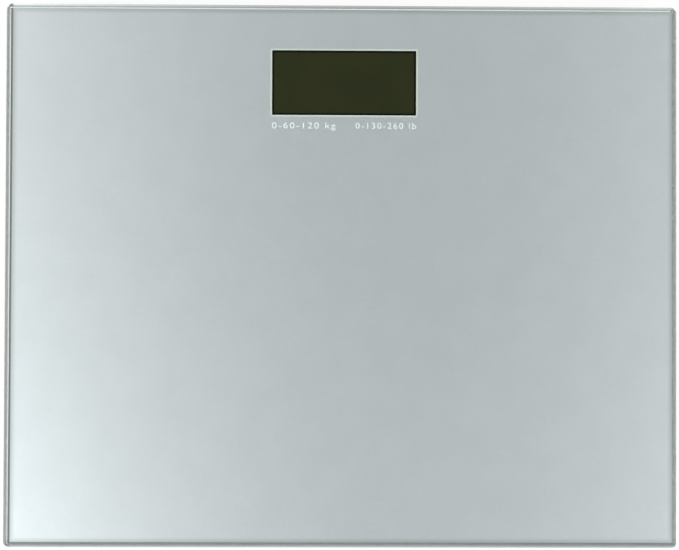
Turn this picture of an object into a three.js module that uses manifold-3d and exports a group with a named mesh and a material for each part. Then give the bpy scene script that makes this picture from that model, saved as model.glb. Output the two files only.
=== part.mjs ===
// A slim glass bathroom scale with four load-cell feet and a display unit under the glass.
//
// Millimetres, +Z up. The origin is on the floor under the middle of the platform, +X is to the
// right and +Y away from the person who stands on it, so the display is at the +Y end.
//
// Heights are stacked upwards from the floor through a foot to the glass, and the display unit
// hangs down from the glass, so a change of any thickness moves everything that rests on it.

import * as THREE from "three";
import { mergeVertices } from "three/addons/utils/BufferGeometryUtils.js";
import Module from "manifold-3d";

const wasm = await Module();
wasm.setup();

// ---------------------------------------------------------------- driving dimensions

const FIT = 0.3; // gap between pieces that fit into each other
const BOND = 0.5; // how far the parts of one moulding reach into each other
const SIDES = { foot: 24, ring: 18, boss: 10, pin: 8 }; // facets of round pieces, by size

const GLASS = { width: 310, depth: 250, thickness: 6, cornerRadius: 3.6, edgeRadius: 2.9 };
const PRINT = { inset: 0.3, thickness: 0.2 }; // inset from the flat part of the underside
const WINDOW = { width: 66.4, depth: 29.7, x: 0.7, fromRearEdge: 35.7 };
const TAPE = 0.8; // double-sided foam tape under the printed glass

const FOOT = { fromSide: 40, fromEnd: 39 }; // its middle, from the glass's edges
const PAD = { thickness: 2.6, chamfer: 0.5, groove: { inner: 14, width: 2, depth: 0.8 } };
const CAP = {
  shoulder: 1.9, // beyond the neck
  rim: 2.7, // around the pad
  recess: 0.8,
  floor: 2.2,
  chamfer: 0.8,
  wall: 1.2,
  neckHeight: 2.1,
  bossRadius: 5,
  bossTip: 4.5,
  bossHeight: 5.3,
  ribs: 4,
  ribThickness: 1.4,
  hooks: 4,
  hookWidth: 24, // degrees
  hookReach: 1.6,
  hookThickness: 1,
};
const BRACKET = {
  flange: 2,
  flangeThickness: 1.2,
  draft: 0.8,
  wall: 2,
  roof: 1.5,
  chamfer: 0.6,
  lipHeight: 1.3,
  shoulderGap: 1.4, // between the cap's shoulder and the skirt
  cellGap: 3.18, // between the load cell's corners and the skirt
  seatHeight: 1.9,
  seatWidth: 4,
};
const CELL = {
  side: 34,
  thickness: 2.5,
  cornerRadius: 3,
  arm: 8,
  slot: 2.5,
  rootBar: 6,
  endBar: 5.5,
  holeRadius: 1.6,
};
const GAUGE = { length: 8, width: 6, thickness: 0.7, cornerRadius: 1.5, fromEdge: 6 };
const RETAINER = { width: 8.5, thickness: 1.5, earRadius: 3.6 };
const STAKE = { fromCell: 4, bossRadius: 2.6, pinRadius: 1.5, headRadius: 2.3, headThickness: 0.6 };

const LEAD = { width: 3.2, thickness: 0.9, drop: 5, tail: 1.5 };
const DUCT = { width: 9, wall: 1, floor: 0.8, fromPost: 10.3 };

const LCD = { marginX: 2.8, marginY: 3.15, glass: 1.1, ledge: 4, reflector: 0.3, reflectorInset: 0.8 };
const HOLDER = { marginX: 4, marginY: 1.2, wallX: 10, wallY: 7.2 };
const ZEBRA = { inset: 1, depth: 2 };
const HOUSING = {
  depth: 58,
  height: 11.4,
  cornerRadius: 7,
  wall: 1.8,
  roof: 1.5,
  cover: 2,
  rimWall: 1.2,
  rimHeight: 2.4,
  gasketInset: 1,
  postMargin: 3.6, // between the screw posts and its outside
  rearGap: 1, // between the display's holder and its rear wall
};
const PCB = { gapX: 2.2, gapY: 0.7, thickness: 1.2, cornerRadius: 2 };
const POST = { radius: 3.1, fromHolder: 2.2 };
const SCREW = {
  radius: 1.2,
  headRadius: 2.5,
  headHeight: 1,
  countersink: 0.2, // head below the cover's face
  engaged: 2, // length in the upper housing's boss
  slotLength: 3,
  slotWidth: 0.7,
  slotDepth: 0.5,
};
const CHIP = { radius: 6, height: 1.2, x: -8, y: 2 };
const SWITCH = {
  side: 6,
  height: 1.6,
  x: -30,
  y: -14,
  plungerRadius: 1.6,
  plungerProud: 0.4,
  plungerIn: 0.6,
};
const BUTTON = {
  radius: 4,
  flangeRadius: 5.4,
  flangeThickness: 0.5,
  nubRadius: 2,
  proud: 0.3,
  travel: 0.25,
};
const BATTERY = { radius: 10, height: 3.2, x: 22, y: -9 };
const BAY = { wall: 1.2, clearance: 0.6, contactGap: 7 };
const CONTACT = { radius: 5, width: 6, thickness: 0.4 };
const DOOR = { marginX: 3, marginY: 3.5, thickness: 1.2, cornerRadius: 1.5, clearance: 0.2 };
const HOOK = { fromSide: 4, width: 4, neck: 1.2, reach: 1.9, height: 1.2, lift: 0.1 };
const LATCH = { width: 7, thickness: 1.1, height: 1.5 };
const SCOOP = { radius: 6, depth: 0.9 };

// ---------------------------------------------------------------- heights above the floor

const padTop = PAD.thickness;
const capBottom = padTop - CAP.recess;
const shoulder = padTop + CAP.floor;
const neckTop = shoulder + CAP.neckHeight;
const cellBottom = shoulder + CAP.bossHeight;
const cellTop = cellBottom + CELL.thickness;
const roofBottom = cellTop + BRACKET.seatHeight;
const tapeBottom = roofBottom + BRACKET.roof;
const printBottom = tapeBottom + TAPE;
const glassBottom = printBottom + PRINT.thickness;
const glassTop = glassBottom + GLASS.thickness;

const skirtBottom = shoulder + BRACKET.shoulderGap;
const lipTop = skirtBottom + BRACKET.lipHeight;
const retainerBottom = cellBottom - RETAINER.thickness;
const gaugeTop = cellTop + GAUGE.thickness;

const leadBottom = gaugeTop;
const leadTop = leadBottom + LEAD.thickness;
const ductFloorTop = leadBottom - FIT;
const ductBottom = ductFloorTop - DUCT.floor;

const lcdTop = printBottom - FIT;
const lcdSeam = lcdTop - LCD.glass;
const lcdBottom = lcdSeam - LCD.glass;
const holderTop = lcdBottom - LCD.reflector;
const frameRoofBottom = tapeBottom - HOUSING.roof;
const housingBottom = tapeBottom - HOUSING.height;
const coverTop = housingBottom + HOUSING.cover;
const doorTop = housingBottom + DOOR.thickness;
const recessTop = doorTop + DOOR.clearance;
const batteryBottom = doorTop + FIT;
const batteryTop = batteryBottom + BATTERY.height;
const pcbBottom = batteryTop + CONTACT.thickness;
const pcbTop = pcbBottom + PCB.thickness;
const screwSeat = housingBottom + SCREW.countersink + SCREW.headHeight;
const switchBottom = pcbBottom - SWITCH.height;
const buttonTop = switchBottom - SWITCH.plungerProud;

// ---------------------------------------------------------------- radii of a foot

const stakeY = CELL.side / 2 + STAKE.fromCell;
const retainerRadius = stakeY - FIT;
const neckInner = retainerRadius + 2 * FIT;
const neckOuter = neckInner + CAP.wall;
const lipInner = neckOuter + FIT;
const capRadius = neckOuter + CAP.shoulder;
const padRadius = capRadius - CAP.rim - FIT;
const cellReach = (CELL.side / 2 - CELL.cornerRadius) * Math.SQRT2 + CELL.cornerRadius;
const skirtInner = cellReach + BRACKET.cellGap;
const skirtOuter = skirtInner + BRACKET.wall;
const flangeRadius = skirtOuter + BRACKET.flange;

// ---------------------------------------------------------------- plan of the display unit
// Measured from the middle of the window.

const windowY = GLASS.depth / 2 - WINDOW.fromRearEdge;
const lcdWidth = WINDOW.width + 2 * LCD.marginX;
const lcdDepth = WINDOW.depth + 2 * LCD.marginY;
const holderWidth = lcdWidth + 2 * HOLDER.marginX;
const holderDepth = lcdDepth + 2 * HOLDER.marginY;
const zebraY = (lcdDepth - LCD.ledge) / 2;
const zebraWidth = lcdWidth - 2 * ZEBRA.inset;
const postX = holderWidth / 2 + POST.fromHolder + POST.radius;
const housingWidth = 2 * (postX + POST.radius + HOUSING.postMargin);
const housingRear = holderDepth / 2 + HOUSING.rearGap + HOUSING.wall;
const housingMiddle = housingRear - HOUSING.depth / 2;
const housingFront = housingRear - HOUSING.depth;
const postRise = HOUSING.depth / 2 - POST.radius - HOUSING.postMargin;
const doorWidth = 2 * (BATTERY.radius + DOOR.marginX);
const doorDepth = 2 * (BATTERY.radius + DOOR.marginY);
const hingeY = BATTERY.y - doorDepth / 2;
const hookX = doorWidth / 2 - HOOK.fromSide;
const latchY = BATTERY.y + doorDepth / 2 - LATCH.thickness / 2;
const batteryPlace = { x: BATTERY.x, y: BATTERY.y, sides: SIDES.foot };

// ---------------------------------------------------------------- materials

const paint = (color, roughness, metalness = 0, extra = {}) =>
  new THREE.MeshStandardMaterial({ color, roughness, metalness, ...extra });

const MATERIAL = {
  glass: paint(0xdfe9e6, 0.03, 0, { transparent: true, opacity: 0.35 }),
  silver: paint(0xb7bec0, 0.45, 0.8),
  foam: paint(0xe8e8e4, 0.9),
  casing: paint(0xb9bcbd, 0.5),
  rubber: paint(0x3c3e40, 0.85),
  steel: paint(0xa9adb0, 0.35, 1),
  sealant: paint(0xf1efe9, 0.6),
  nylon: paint(0xdad9d3, 0.55),
  lead: paint(0xb3392f, 0.5),
  lcd: paint(0x2f3520, 0.15),
  reflector: paint(0x9aa08a, 0.4, 0.5),
  zebra: paint(0x6b6a68, 0.8),
  board: paint(0x2f6a3c, 0.45),
  epoxy: paint(0x161616, 0.4),
  plated: paint(0xc9c6bb, 0.3, 1),
  switchBody: paint(0x222426, 0.5),
};

// ---------------------------------------------------------------- geometry helpers

const MERGE = 1e-4;
const GRID = 1000; // coordinates are rounded to a thousandth, so faces that meet share a plane

// A closed three.js geometry as a solid that can be joined and cut.
function solid(geometry) {
  const bare = new THREE.BufferGeometry();
  const flat = geometry.index ? geometry.toNonIndexed() : geometry;
  bare.setAttribute("position", flat.getAttribute("position"));
  const merged = mergeVertices(bare, MERGE);
  const corners = merged.index.array;
  const kept = [];
  for (let i = 0; i < corners.length; i += 3) {
    const [a, b, c] = [corners[i], corners[i + 1], corners[i + 2]];
    if (a !== b && b !== c && c !== a) kept.push(a, b, c);
  }
  const vertProperties = merged.attributes.position.array;
  return new wasm.Manifold(
    new wasm.Mesh({ numProp: 3, vertProperties, triVerts: new Uint32Array(kept) }),
  );
}

// A solid as a three.js geometry, on the grid.
function geometryOf(part) {
  const made = part.getMesh();
  const points = Float32Array.from(made.vertProperties, (v) => Math.round(v * GRID) / GRID);
  return new THREE.BufferGeometry()
    .setAttribute("position", new THREE.BufferAttribute(points, 3))
    .setIndex(new THREE.BufferAttribute(made.triVerts, 1));
}

const join = (...parts) => parts.reduce((all, part) => all.add(part));
const cut = (part, ...tools) => tools.reduce((left, tool) => left.subtract(tool), part);

// An upright box over a width, a depth and a pair of heights, centred at x, y.
function block(width, depth, bottom, top, x = 0, y = 0) {
  const box = new THREE.BoxGeometry(width, depth, top - bottom);
  return solid(box.translate(x, y, (bottom + top) / 2));
}

// An upright cylinder, or a cone if topRadius differs.
function disc(radius, bottom, top, { x = 0, y = 0, sides = SIDES.ring, topRadius = radius } = {}) {
  const round = new THREE.CylinderGeometry(topRadius, radius, top - bottom, sides);
  return solid(round.rotateX(Math.PI / 2).translate(x, y, (bottom + top) / 2));
}

// A flat shape given a pair of heights.
function plate(shape, bottom, top, curveSegments = 2) {
  const depth = top - bottom;
  const raised = new THREE.ExtrudeGeometry(shape, { depth, bevelEnabled: false, curveSegments });
  return solid(raised.translate(0, 0, bottom));
}

// A closed profile of [radius, height] points, turned about Z. It starts on the axis at the
// underside, runs outwards and ends on the axis at the upper side.
function turned(profile, sides = SIDES.foot) {
  const points = profile.map(([r, z]) => new THREE.Vector2(r, z));
  return solid(new THREE.LatheGeometry(points, sides).rotateX(Math.PI / 2));
}

function roundedRect(width, depth, radius, x = 0, y = 0, Kind = THREE.Shape) {
  const [right, back] = [width / 2, depth / 2];
  const path = new Kind();
  path.absarc(x + right - radius, y + back - radius, radius, 0, Math.PI / 2);
  path.absarc(x - right + radius, y + back - radius, radius, Math.PI / 2, Math.PI);
  path.absarc(x - right + radius, y - back + radius, radius, Math.PI, 1.5 * Math.PI);
  path.absarc(x + right - radius, y - back + radius, radius, 1.5 * Math.PI, 2 * Math.PI);
  path.closePath();
  return path;
}

// A slice of a ring between two radii, centred on an angle in degrees.
function ringSlice(inner, outer, angle, spread, bottom, top) {
  const from = THREE.MathUtils.degToRad(angle - spread / 2);
  const to = THREE.MathUtils.degToRad(angle + spread / 2);
  const shape = new THREE.Shape();
  shape.absarc(0, 0, outer, from, to, false);
  shape.absarc(0, 0, inner, to, from, true);
  shape.closePath();
  return plate(shape, bottom, top);
}

// A solid turned about Z and moved to a point.
function laid(part, angle, x, y) {
  return part.rotate([0, 0, THREE.MathUtils.radToDeg(angle)]).translate([x, y, 0]);
}

const root = new THREE.Group();

function add(parent, name, material, part) {
  const mesh = new THREE.Mesh(geometryOf(part), material);
  mesh.name = name;
  parent.add(mesh);
}

// ---------------------------------------------------------------- platform

// Toughened glass whose four edges are ground to a half round.
function glassPlatform() {
  const round = GLASS.edgeRadius;
  const flat = roundedRect(
    GLASS.width - 2 * round,
    GLASS.depth - 2 * round,
    GLASS.cornerRadius - round,
  );
  const ground = new THREE.ExtrudeGeometry(flat, {
    depth: GLASS.thickness - 2 * round,
    bevelThickness: round,
    bevelSize: round,
    bevelSegments: 4,
    curveSegments: 3,
  });
  return solid(ground.translate(0, 0, glassBottom + round));
}

// The ink on the underside of the glass, open over the display.
function silverPrint() {
  const inset = 2 * (GLASS.edgeRadius + PRINT.inset);
  const sheet = roundedRect(GLASS.width - inset, GLASS.depth - inset, GLASS.cornerRadius);
  const window = block(WINDOW.width, WINDOW.depth, printBottom - 1, glassTop, WINDOW.x, windowY);
  return cut(plate(sheet, printBottom, glassBottom), window);
}

// ---------------------------------------------------------------- foot

const stakes = [-stakeY, stakeY];
const seatY = (CELL.side - CELL.arm) / 2;
const gaugeX = -CELL.side / 2 + GAUGE.fromEdge + GAUGE.length / 2;

function rubberPad() {
  const { chamfer, groove } = PAD;
  return turned([
    [0, 0],
    [groove.inner, 0],
    [groove.inner, groove.depth],
    [groove.inner + groove.width, groove.depth],
    [groove.inner + groove.width, 0],
    [padRadius - chamfer, 0],
    [padRadius, chamfer],
    [padRadius, padTop],
    [0, padTop],
  ]);
}

// The part of the foot that stands on the floor. Its boss pushes on the load cell's tongue, and
// its hooks keep it in the bracket when the scale is lifted.
function footCap() {
  const cup = turned([
    [0, padTop],
    [padRadius + FIT, padTop],
    [padRadius + FIT, capBottom],
    [capRadius - CAP.chamfer, capBottom],
    [capRadius, capBottom + CAP.chamfer],
    [capRadius, shoulder],
    [neckOuter, shoulder],
    [neckOuter, neckTop],
    [neckInner, neckTop],
    [neckInner, shoulder],
    [CAP.bossRadius, shoulder],
    [CAP.bossTip, cellBottom],
    [0, cellBottom],
  ]);
  const pieces = [cup];
  const ribLength = neckInner - CAP.bossRadius + 2 * BOND;
  const rib = block(
    ribLength,
    CAP.ribThickness,
    shoulder - BOND,
    neckTop - FIT,
    CAP.bossRadius - BOND + ribLength / 2,
  );
  for (let i = 0; i < CAP.ribs; i++) pieces.push(rib.rotate([0, 0, (i * 360) / CAP.ribs]));

  const barbBottom = lipTop + FIT;
  const barbTop = barbBottom + CAP.hookThickness;
  for (let i = 0; i < CAP.hooks; i++) {
    const angle = ((i + 0.5) * 360) / CAP.hooks;
    pieces.push(
      ringSlice(neckInner, neckOuter, angle, CAP.hookWidth, shoulder - BOND, barbTop),
      ringSlice(neckInner, neckOuter + CAP.hookReach, angle, CAP.hookWidth, barbBottom, barbTop),
    );
  }
  return join(...pieces);
}

// The housing that is taped under the glass. Its ribs carry the load cell's frame, and its two
// stakes hold the retainer.
function footBracket() {
  const shell = turned([
    [0, roofBottom],
    [skirtInner, roofBottom],
    [skirtInner, lipTop],
    [lipInner, lipTop],
    [lipInner, skirtBottom],
    [skirtOuter - BRACKET.draft - BRACKET.chamfer, skirtBottom],
    [skirtOuter - BRACKET.draft, skirtBottom + BRACKET.chamfer],
    [skirtOuter, tapeBottom - BRACKET.flangeThickness],
    [flangeRadius, tapeBottom - BRACKET.flangeThickness],
    [flangeRadius, tapeBottom],
    [0, tapeBottom],
  ]);
  const pieces = [shell];
  const headTop = retainerBottom - FIT;
  const headBottom = headTop - STAKE.headThickness;
  for (const y of stakes) {
    pieces.push(
      disc(STAKE.bossRadius, cellBottom, roofBottom + BOND, { y, sides: SIDES.boss }),
      disc(STAKE.pinRadius, headBottom, cellBottom + BOND, { y, sides: SIDES.pin }),
      disc(STAKE.headRadius, headBottom, headTop, { y, sides: SIDES.boss }),
    );
  }
  const pinRadius = CELL.holeRadius - FIT;
  for (const y of [-seatY, seatY]) {
    pieces.push(
      block(CELL.side - 2 * CELL.cornerRadius, BRACKET.seatWidth, cellTop, roofBottom + BOND, 0, y),
      disc(pinRadius, cellTop - CELL.thickness / 2, roofBottom, { y, sides: SIDES.pin }),
    );
  }
  const outlet = block(
    3 * BRACKET.wall,
    LEAD.width + 4 * FIT,
    ductFloorTop,
    roofBottom,
    skirtOuter - BRACKET.wall / 2,
  );
  return cut(join(...pieces), outlet);
}

// A half-bridge load cell: a square steel plate whose middle tongue bends against its frame.
function loadCell() {
  const half = CELL.side / 2;
  const plan = roundedRect(CELL.side, CELL.side, CELL.cornerRadius);
  const [start, end] = [-half + CELL.rootBar, half - CELL.endBar];
  const outer = half - CELL.arm;
  const inner = outer - CELL.slot;
  const slot = new THREE.Path();
  slot.moveTo(start, outer);
  slot.lineTo(start, inner);
  slot.lineTo(end - CELL.slot, inner);
  slot.lineTo(end - CELL.slot, -inner);
  slot.lineTo(start, -inner);
  slot.lineTo(start, -outer);
  slot.lineTo(end, -outer);
  slot.lineTo(end, outer);
  slot.closePath();
  plan.holes.push(slot);
  const holes = [-seatY, seatY].map((y) =>
    disc(CELL.holeRadius, cellBottom - 1, cellTop + 1, { y, sides: SIDES.pin }),
  );
  return cut(plate(plan, cellBottom, cellTop), ...holes);
}

// The silicone over the strain gauges, at the root of the tongue.
function strainGauge() {
  return plate(roundedRect(GAUGE.length, GAUGE.width, GAUGE.cornerRadius, gaugeX), cellTop, gaugeTop);
}

// The ring that holds the load cell's frame up against the bracket's ribs.
function cellRetainer() {
  const tall = [retainerBottom, cellBottom];
  const ears = stakes.map((y) => disc(RETAINER.earRadius, ...tall, { y, sides: SIDES.boss }));
  const holes = stakes.map((y) =>
    disc(STAKE.pinRadius + FIT, retainerBottom - 1, cellBottom + 1, { y, sides: SIDES.pin }),
  );
  const ring = disc(retainerRadius, ...tall);
  const opening = disc(retainerRadius - RETAINER.width, retainerBottom - 1, cellBottom + 1);
  return cut(join(ring, ...ears), opening, ...holes);
}

function adhesivePad() {
  const ring = disc(flangeRadius - TAPE, tapeBottom, printBottom);
  return cut(ring, disc(flangeRadius / 2, tapeBottom - 1, printBottom + 1));
}

// ---------------------------------------------------------------- wiring

// Each corner's place, with the angle and the reach of its duct to the display housing, and how
// far its lead runs on until it is through the housing's wall.
const corners = [-1, 1].flatMap((sideY) =>
  [-1, 1].map((sideX) => {
    const x = sideX * (GLASS.width / 2 - FOOT.fromSide);
    const y = sideY * (GLASS.depth / 2 - FOOT.fromEnd);
    const front = sideY < 0;
    const entryX = WINDOW.x + sideX * (front ? postX - DUCT.fromPost : housingWidth / 2);
    const entryY = front ? windowY + housingFront : y;
    const reach = Math.hypot(entryX - x, entryY - y);
    const slant = front ? Math.acos((entryY - y) / reach) : 0;
    return {
      name: (front ? "front" : "rear") + (sideX < 0 ? "_left" : "_right"),
      x,
      y,
      reach,
      angle: Math.atan2(entryY - y, entryX - x),
      through: HOUSING.wall / Math.cos(slant) + (LEAD.width / 2) * Math.tan(slant),
    };
  }),
);

// The three wires of a load cell, laid as one ribbon that drops to the circuit board at its end.
function gaugeLead({ reach, through }) {
  const start = gaugeX + GAUGE.length / 4;
  const bend = reach + through + FIT;
  const half = LEAD.drop / 2;
  const end = bend + LEAD.drop;
  const tip = end + LEAD.tail;
  const tailBottom = pcbTop + FIT;
  const tailTop = tailBottom + LEAD.thickness;
  const side = new THREE.Shape();
  side.moveTo(start, leadBottom);
  side.lineTo(bend, leadBottom);
  side.bezierCurveTo(bend + half, leadBottom, end - half, tailBottom, end, tailBottom);
  side.lineTo(tip, tailBottom);
  side.lineTo(tip, tailTop);
  side.lineTo(end, tailTop);
  side.bezierCurveTo(end - half, tailTop, bend + half, leadTop, bend, leadTop);
  side.lineTo(start, leadTop);
  side.closePath();
  const ribbon = { depth: LEAD.width, bevelEnabled: false, curveSegments: 4 };
  return solid(
    new THREE.ExtrudeGeometry(side, ribbon).rotateX(Math.PI / 2).translate(0, LEAD.width / 2, 0),
  );
}

// A channel under the glass, trimmed to the bracket and to the housing.
function wireDuct({ angle, reach, x, y }) {
  const length = reach + HOUSING.cornerRadius;
  const outside = block(length, DUCT.width, ductBottom, printBottom, length / 2);
  const hollow = block(length + 2, DUCT.width - 2 * DUCT.wall, ductFloorTop, printBottom + 1, length / 2);
  const channel = laid(cut(outside, hollow), angle, x, y);
  const bracket = disc(flangeRadius + FIT, 0, glassTop, { x, y, sides: SIDES.foot });
  const housing = plate(housingOutline(-FIT), 0, glassTop).translate([WINDOW.x, windowY, 0]);
  return cut(channel, bracket, housing);
}

// ---------------------------------------------------------------- display unit

const posts = [-1, 1].flatMap((sideY) =>
  [-1, 1].map((sideX) => ({
    name: (sideY < 0 ? "front" : "rear") + (sideX < 0 ? "_left" : "_right"),
    x: sideX * postX,
    y: housingMiddle + sideY * postRise,
  })),
);
const screwHole = SCREW.radius + FIT;

function housingOutline(inset = 0) {
  return roundedRect(
    housingWidth - 2 * inset,
    HOUSING.depth - 2 * inset,
    HOUSING.cornerRadius - inset,
    0,
    housingMiddle,
  );
}

const opening = (width, depth, bottom, top) => block(width, depth, bottom - 1, top + 1);

function housingGasket() {
  const tape = plate(housingOutline(HOUSING.gasketInset), tapeBottom, printBottom);
  return cut(tape, opening(lcdWidth + 8 * FIT, lcdDepth + 8 * FIT, tapeBottom, printBottom));
}

// The upper half of the housing: a tray that is taped under the glass, with the display's
// opening, a boss for each screw and an outlet for each lead.
function housingFrame() {
  const shell = plate(housingOutline(), coverTop, tapeBottom);
  const hollow = plate(housingOutline(HOUSING.wall), coverTop - 1, frameRoofBottom);
  const window = opening(lcdWidth + 2 * FIT, lcdDepth + 2 * FIT, frameRoofBottom, tapeBottom);
  const bosses = posts.map(({ x, y }) =>
    disc(POST.radius, pcbTop, frameRoofBottom + BOND, { x, y, sides: SIDES.boss }),
  );
  const pilots = posts.map(({ x, y }) =>
    disc(screwHole, pcbTop - 1, pcbTop + SCREW.engaged + FIT, { x, y, sides: SIDES.pin }),
  );
  const outlets = corners.map(({ x, y, angle, reach, through }) => {
    const notch = block(3 * through, LEAD.width + 4 * FIT, ductFloorTop, frameRoofBottom, reach);
    return laid(notch, angle, x - WINDOW.x, y - windowY);
  });
  return cut(join(cut(shell, hollow, window), ...bosses), ...pilots, ...outlets);
}

const lcdFrontGlass = () => block(lcdWidth, lcdDepth, lcdSeam, lcdTop);
const lcdRearGlass = () => block(lcdWidth, lcdDepth - 2 * LCD.ledge, lcdBottom, lcdSeam);

function lcdReflector() {
  const inset = 2 * LCD.reflectorInset;
  return block(lcdWidth - inset, lcdDepth - 2 * LCD.ledge - inset, holderTop, lcdBottom);
}

// The frame between display and board, with a slot for each connector strip.
function lcdHolder() {
  const body = block(holderWidth, holderDepth, pcbTop, holderTop);
  const slots = [-zebraY, zebraY].map((y) =>
    block(zebraWidth + 2 * FIT, ZEBRA.depth + 2 * FIT, pcbTop - 1, holderTop + 1, 0, y),
  );
  const hollow = opening(
    holderWidth - 2 * HOLDER.wallX,
    holderDepth - 2 * HOLDER.wallY,
    pcbTop,
    holderTop,
  );
  return cut(body, hollow, ...slots);
}

const zebraStrip = (y) => block(zebraWidth, ZEBRA.depth, pcbTop, lcdSeam, 0, y);

function circuitBoard() {
  const outline = roundedRect(
    housingWidth - 2 * (HOUSING.wall + PCB.gapX),
    HOUSING.depth - 2 * (HOUSING.wall + PCB.gapY),
    PCB.cornerRadius,
    0,
    housingMiddle,
  );
  const holes = posts.map(({ x, y }) =>
    disc(screwHole, pcbBottom - 1, pcbTop + 1, { x, y, sides: SIDES.pin }),
  );
  return cut(plate(outline, pcbBottom, pcbTop), ...holes);
}

function chipBlob() {
  const { radius, height, x, y } = CHIP;
  const rise = pcbBottom - height;
  return turned(
    [
      [0, rise],
      [radius * 0.5, rise + height * 0.15],
      [radius * 0.85, rise + height * 0.5],
      [radius, pcbBottom],
      [0, pcbBottom],
    ],
    SIDES.boss,
  ).translate([x, y, 0]);
}

const coinCell = () => disc(BATTERY.radius, batteryBottom, batteryTop, batteryPlace);

function negativeContact() {
  return disc(CONTACT.radius, batteryTop, pcbBottom, { x: BATTERY.x, y: BATTERY.y, sides: SIDES.boss });
}

// The leaf that presses on the rim of the cell, through the gap in the bay's wall.
function positiveContact() {
  const x = BATTERY.x - BATTERY.radius - FIT - CONTACT.thickness / 2;
  return block(CONTACT.thickness, CONTACT.width, coverTop + FIT, pcbBottom, x, BATTERY.y);
}

function switchBody() {
  const { side, x, y, plungerRadius, plungerProud, plungerIn } = SWITCH;
  const bore = switchBottom + plungerIn + BUTTON.travel + FIT;
  const well = disc(plungerRadius + FIT, switchBottom - plungerProud, bore, { x, y, sides: SIDES.pin });
  return cut(block(side, side, switchBottom, pcbBottom, x, y), well);
}

function switchPlunger() {
  const { x, y, plungerRadius, plungerIn } = SWITCH;
  return disc(plungerRadius, buttonTop, switchBottom + plungerIn, { x, y, sides: SIDES.pin });
}

function unitButton() {
  const flangeBottom = coverTop + FIT;
  const flangeTop = flangeBottom + BUTTON.flangeThickness;
  const { x, y } = SWITCH;
  return join(
    disc(BUTTON.radius, housingBottom - BUTTON.proud, flangeTop, { x, y }),
    disc(BUTTON.flangeRadius, flangeBottom, flangeTop, { x, y }),
    disc(BUTTON.nubRadius, flangeTop - BUTTON.flangeThickness / 2, buttonTop, {
      x,
      y,
      sides: SIDES.boss,
    }),
  );
}

// The lower half of the housing, with the battery bay, the button's hole and the screw posts.
function housingCover() {
  const floor = plate(housingOutline(), housingBottom, coverTop);
  const rimInset = HOUSING.wall + FIT;
  const rim = cut(
    plate(housingOutline(rimInset), coverTop - BOND, coverTop + HOUSING.rimHeight),
    plate(housingOutline(rimInset + HOUSING.rimWall), coverTop - 1, glassTop),
  );
  const columns = posts.map(({ x, y }) =>
    disc(POST.radius, coverTop - BOND, pcbBottom, { x, y, sides: SIDES.boss }),
  );
  const bayRadius = BATTERY.radius + BAY.clearance;
  const bayTop = batteryTop - FIT;
  const bayWall = disc(bayRadius + BAY.wall, recessTop, bayTop, batteryPlace);
  const solidParts = join(floor, rim, ...columns, bayWall);

  const screwHoles = posts.flatMap(({ x, y }) => [
    disc(screwHole, housingBottom - 1, pcbBottom + 1, { x, y, sides: SIDES.pin }),
    disc(SCREW.headRadius + FIT, housingBottom - 1, screwSeat, { x, y, sides: SIDES.boss }),
  ]);
  const doorRecess = plate(doorOutline(FIT), housingBottom - 1, recessTop);
  const bayBore = disc(bayRadius, housingBottom - 1, bayTop + 1, batteryPlace);
  const contactGap = block(
    BAY.wall + 2 * BAY.clearance + FIT,
    BAY.contactGap,
    coverTop,
    bayTop + 1,
    BATTERY.x - bayRadius - BAY.wall / 2,
    BATTERY.y,
  );
  const buttonHole = disc(BUTTON.radius + FIT, housingBottom - 1, coverTop + 1, {
    x: SWITCH.x,
    y: SWITCH.y,
  });
  const hookSlots = hookPlaces.map((x) =>
    block(
      HOOK.width + 2 * FIT,
      HOOK.reach + 2 * HOOK.neck + 3 * FIT,
      doorTop + HOOK.lift - FIT,
      coverTop + HOOK.height,
      x,
      hingeY - HOOK.reach / 2 + HOOK.neck,
    ),
  );
  const latchSlot = block(
    LATCH.width + 2 * FIT,
    LATCH.thickness + 3 * FIT,
    housingBottom,
    coverTop + 1,
    BATTERY.x,
    latchY,
  );
  const scoop = disc(SCOOP.radius, housingBottom - 1, housingBottom + SCOOP.depth, {
    x: BATTERY.x,
    y: hingeY + doorDepth + FIT,
  });
  return cut(
    solidParts,
    doorRecess,
    bayBore,
    contactGap,
    buttonHole,
    scoop,
    latchSlot,
    ...hookSlots,
    ...screwHoles,
  );
}

const hookPlaces = [BATTERY.x - hookX, BATTERY.x + hookX];

// The battery door's outline, or the recess around it.
function doorOutline(gap = 0) {
  const { x, y } = BATTERY;
  return roundedRect(doorWidth + 2 * gap, doorDepth + 2 * gap, DOOR.cornerRadius + gap, x, y);
}

// The battery door. Two hooks reach over the cover's edge, where it hinges, and a tab at the
// other end clips behind the cover.
function batteryDoor() {
  const panel = plate(doorOutline(), housingBottom, doorTop);
  const hookBottom = doorTop + HOOK.lift;
  const hooks = hookPlaces.flatMap((x) => [
    block(HOOK.width, HOOK.neck, doorTop - BOND, hookBottom + HOOK.height, x, hingeY + HOOK.neck / 2),
    block(
      HOOK.width,
      HOOK.reach + HOOK.neck,
      hookBottom,
      hookBottom + HOOK.height,
      x,
      hingeY + (HOOK.neck - HOOK.reach) / 2,
    ),
  ]);
  const tab = block(
    LATCH.width,
    LATCH.thickness,
    doorTop - BOND,
    doorTop + LATCH.height,
    BATTERY.x,
    latchY,
  );
  return join(panel, ...hooks, tab);
}

function coverScrew({ x, y }) {
  const headBottom = screwSeat - SCREW.headHeight;
  const shank = disc(SCREW.radius, screwSeat - BOND, pcbTop + SCREW.engaged, {
    x,
    y,
    sides: SIDES.pin,
  });
  const head = disc(SCREW.headRadius, headBottom, screwSeat, { x, y, sides: SIDES.boss });
  const cross = [
    [SCREW.slotLength, SCREW.slotWidth],
    [SCREW.slotWidth, SCREW.slotLength],
  ].map(([width, depth]) => block(width, depth, headBottom - 1, headBottom + SCREW.slotDepth, x, y));
  return cut(join(shank, head), ...cross);
}

// ---------------------------------------------------------------- assembly

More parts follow.
